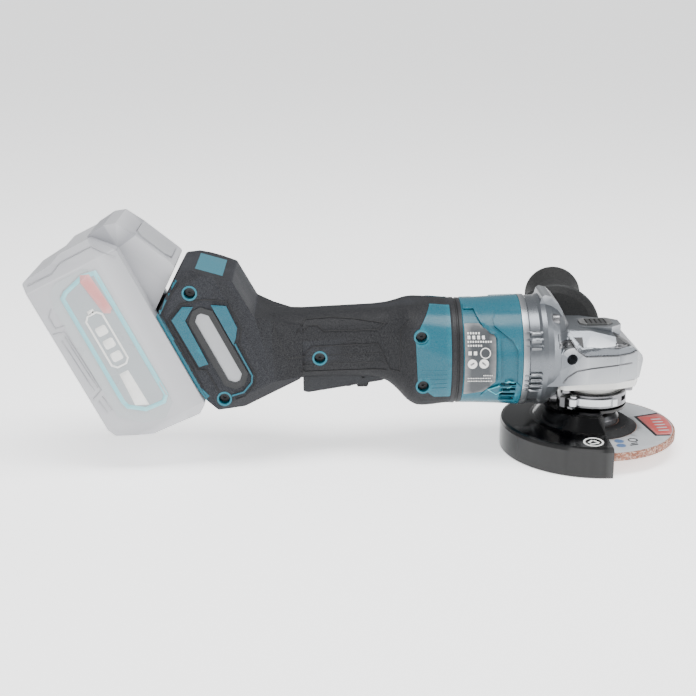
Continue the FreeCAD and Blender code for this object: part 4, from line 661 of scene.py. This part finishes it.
paper = lay("wheel_paper_disc", ring(wheel["paperOut"], wheel["paperIn"]), "top", wheelSkin,
            "wheel_paper", "spindle_group", lift=0.12, thick=0.3, cell=8, edge=0)
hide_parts("wheel_label")
lay("wheel_hub_face", ring(wheel["hubOut"], wheel["hubIn"]), "top", wheelSkin, "dark_ink",
    "spindle_group", lift=0.3, thick=0.5, cell=1.6, edge=0)
field = [(38.3, 12.8), (56.6, 19.4), (59.2, 11.9), (60.1, 3.0), (59.6, -9.0), (57.0, -20.4),
         (54.4, -25.6), (44.1, -25.4)]
lay("wheel_red_field", [field], "top", wheelSkin, "red_ink", "spindle_group", lift=0.3, thick=0.2,
    cell=8, edge=0)
border = band([(56.0, 20.4), (37.4, 13.2), (43.4, -27.0), (54.2, -26.8)], wheel["border"])
lay("wheel_field_border", border, "top", wheelSkin, "dark_ink", "spindle_group", lift=0.34,
    thick=0.2, cell=8, edge=0)
fieldBars = [oblong(51.5, y, 8.0, 2.0, 0.1) for y in (-17.0, -11.0, -5.0, 1.0, 7.0)]
lay("wheel_field_bars", fieldBars, "top", wheelSkin, "wheel_paper", "spindle_group", lift=0.44,
    thick=0.2, cell=8, edge=0)
blueMarks = [disc(13.6, -37.9, wheel["blueRadius"]), disc(13.2, -46.6, wheel["blueRadius"])]
lay("wheel_blue_marks", blueMarks, "top", wheelSkin, "blue_ink", "spindle_group", lift=0.3,
    thick=0.2, edge=0)
greyMarks = hoop(24.0, -36.0, wheel["greyRadius"], wheel["greyLine"], 20)
greyMarks += [oblong(22.8, -45.4, 6.4, 1.4, 0.3), oblong(23.6, -42.4, 5.0, 1.2, 0.3)]
lay("wheel_grey_marks", greyMarks, "top", wheelSkin, "dark_ink", "spindle_group", lift=0.3,
    thick=0.2, edge=0)
print("guard and wheel marks laid")

# The camera stands at the near side, a little above the tool and behind its middle.
view = {"x": -199.772, "y": -920.449, "z": 336.743, "yaw": 0.0186, "pitch": 0.2936, "roll": -0.0092,
        "lens": 67.24, "sensor": 36, "nearClip": 0.05, "farClip": 60}


def makeCamera():
    yaw, pitch, roll = view["yaw"], view["pitch"], view["roll"]
    ahead = Vector((math.sin(yaw) * math.cos(pitch), math.cos(yaw) * math.cos(pitch),
                    -math.sin(pitch)))
    level = Vector((math.cos(yaw), -math.sin(yaw), 0))
    upright = level.cross(ahead)
    right = level * math.cos(roll) + upright * math.sin(roll)
    up = upright * math.cos(roll) - level * math.sin(roll)
    data = bpy.data.cameras.new("camera")
    data.lens = view["lens"]
    data.sensor_width = view["sensor"]
    data.clip_start = view["nearClip"]
    data.clip_end = view["farClip"]
    camera = bpy.data.objects.new("camera", data)
    turned = Matrix((right, up, -ahead)).transposed().to_4x4()
    camera.matrix_world = Matrix.Translation(at(view["x"], view["y"], view["z"])) @ turned
    bpy.context.collection.objects.link(camera)
    bpy.context.scene.camera = camera


makeCamera()

# The floor is white studio paper, level with the guard's lower edge, and runs to the horizon.
floorLook = {"half": 400.0, "patch": 300, "glow": 1.2, "rough": 0.9, "specular": 0.1}


def makeFloor():
    half, low = floorLook["half"], cadLow.z
    mesh = bpy.data.meshes.new("floor")
    corners = [(-half, -half, low), (half, -half, low), (half, half, low), (-half, half, low)]
    mesh.from_pydata(corners, [], [(0, 1, 2, 3)])
    floor = bpy.data.objects.new("floor", mesh)
    bpy.context.collection.objects.link(floor)
    made, tree = newTree("studio paper")
    place = addNode(tree, "ShaderNodeTexCoord").outputs["Object"]
    tone = addNode(tree, "ShaderNodeTexNoise", {"Scale": scaleFor(floorLook["patch"])},
                   {"Vector": place}).outputs["Fac"]
    base = blended(tree, tone, linear("#fbfbfb"), linear("#ffffff"))
    paper = {"Roughness": floorLook["rough"], "Specular IOR Level": floorLook["specular"],
             "Emission Color": linear("#ffffff"), "Emission Strength": floorLook["glow"]}
    shader = addNode(tree, "ShaderNodeBsdfPrincipled", paper, {"Base Color": base})
    finishTree(tree, shader.outputs["BSDF"])
    mesh.materials.append(made)


makeFloor()
print("camera and floor made")

# Place, target and size of each light in millimetres, and its power in watts.
lights = {
    "top softbox": ((-150, -250, 1500), (-170, 0, 40), (1400, 700), 34),
    "near softbox": ((-500, -1700, 900), (-170, 0, 50), (1400, 900), 12),
    "right strip": ((1300, -500, 600), (-50, 0, 40), (400, 1200), 12),
}
room = {"colour": "#f4f6f8", "strength": 0.5}


def addLight(name, place, target, size, power):
    data = bpy.data.lights.new(name, "AREA")
    data.shape = "RECTANGLE"
    data.size, data.size_y = mm(size[0]), mm(size[1])
    data.energy = power
    lamp = bpy.data.objects.new(name, data)
    aim = (at(*target) - at(*place)).to_track_quat("-Z", "Y")
    lamp.matrix_world = Matrix.Translation(at(*place)) @ aim.to_matrix().to_4x4()
    bpy.context.collection.objects.link(lamp)


for lightName, values in lights.items():
    addLight(lightName, *values)
world = bpy.data.worlds.new("studio")
bpy.context.scene.world = world
world.use_nodes = True
background = world.node_tree.nodes["Background"]
background.inputs["Color"].default_value = linear(room["colour"])
background.inputs["Strength"].default_value = room["strength"]
print("lights set")
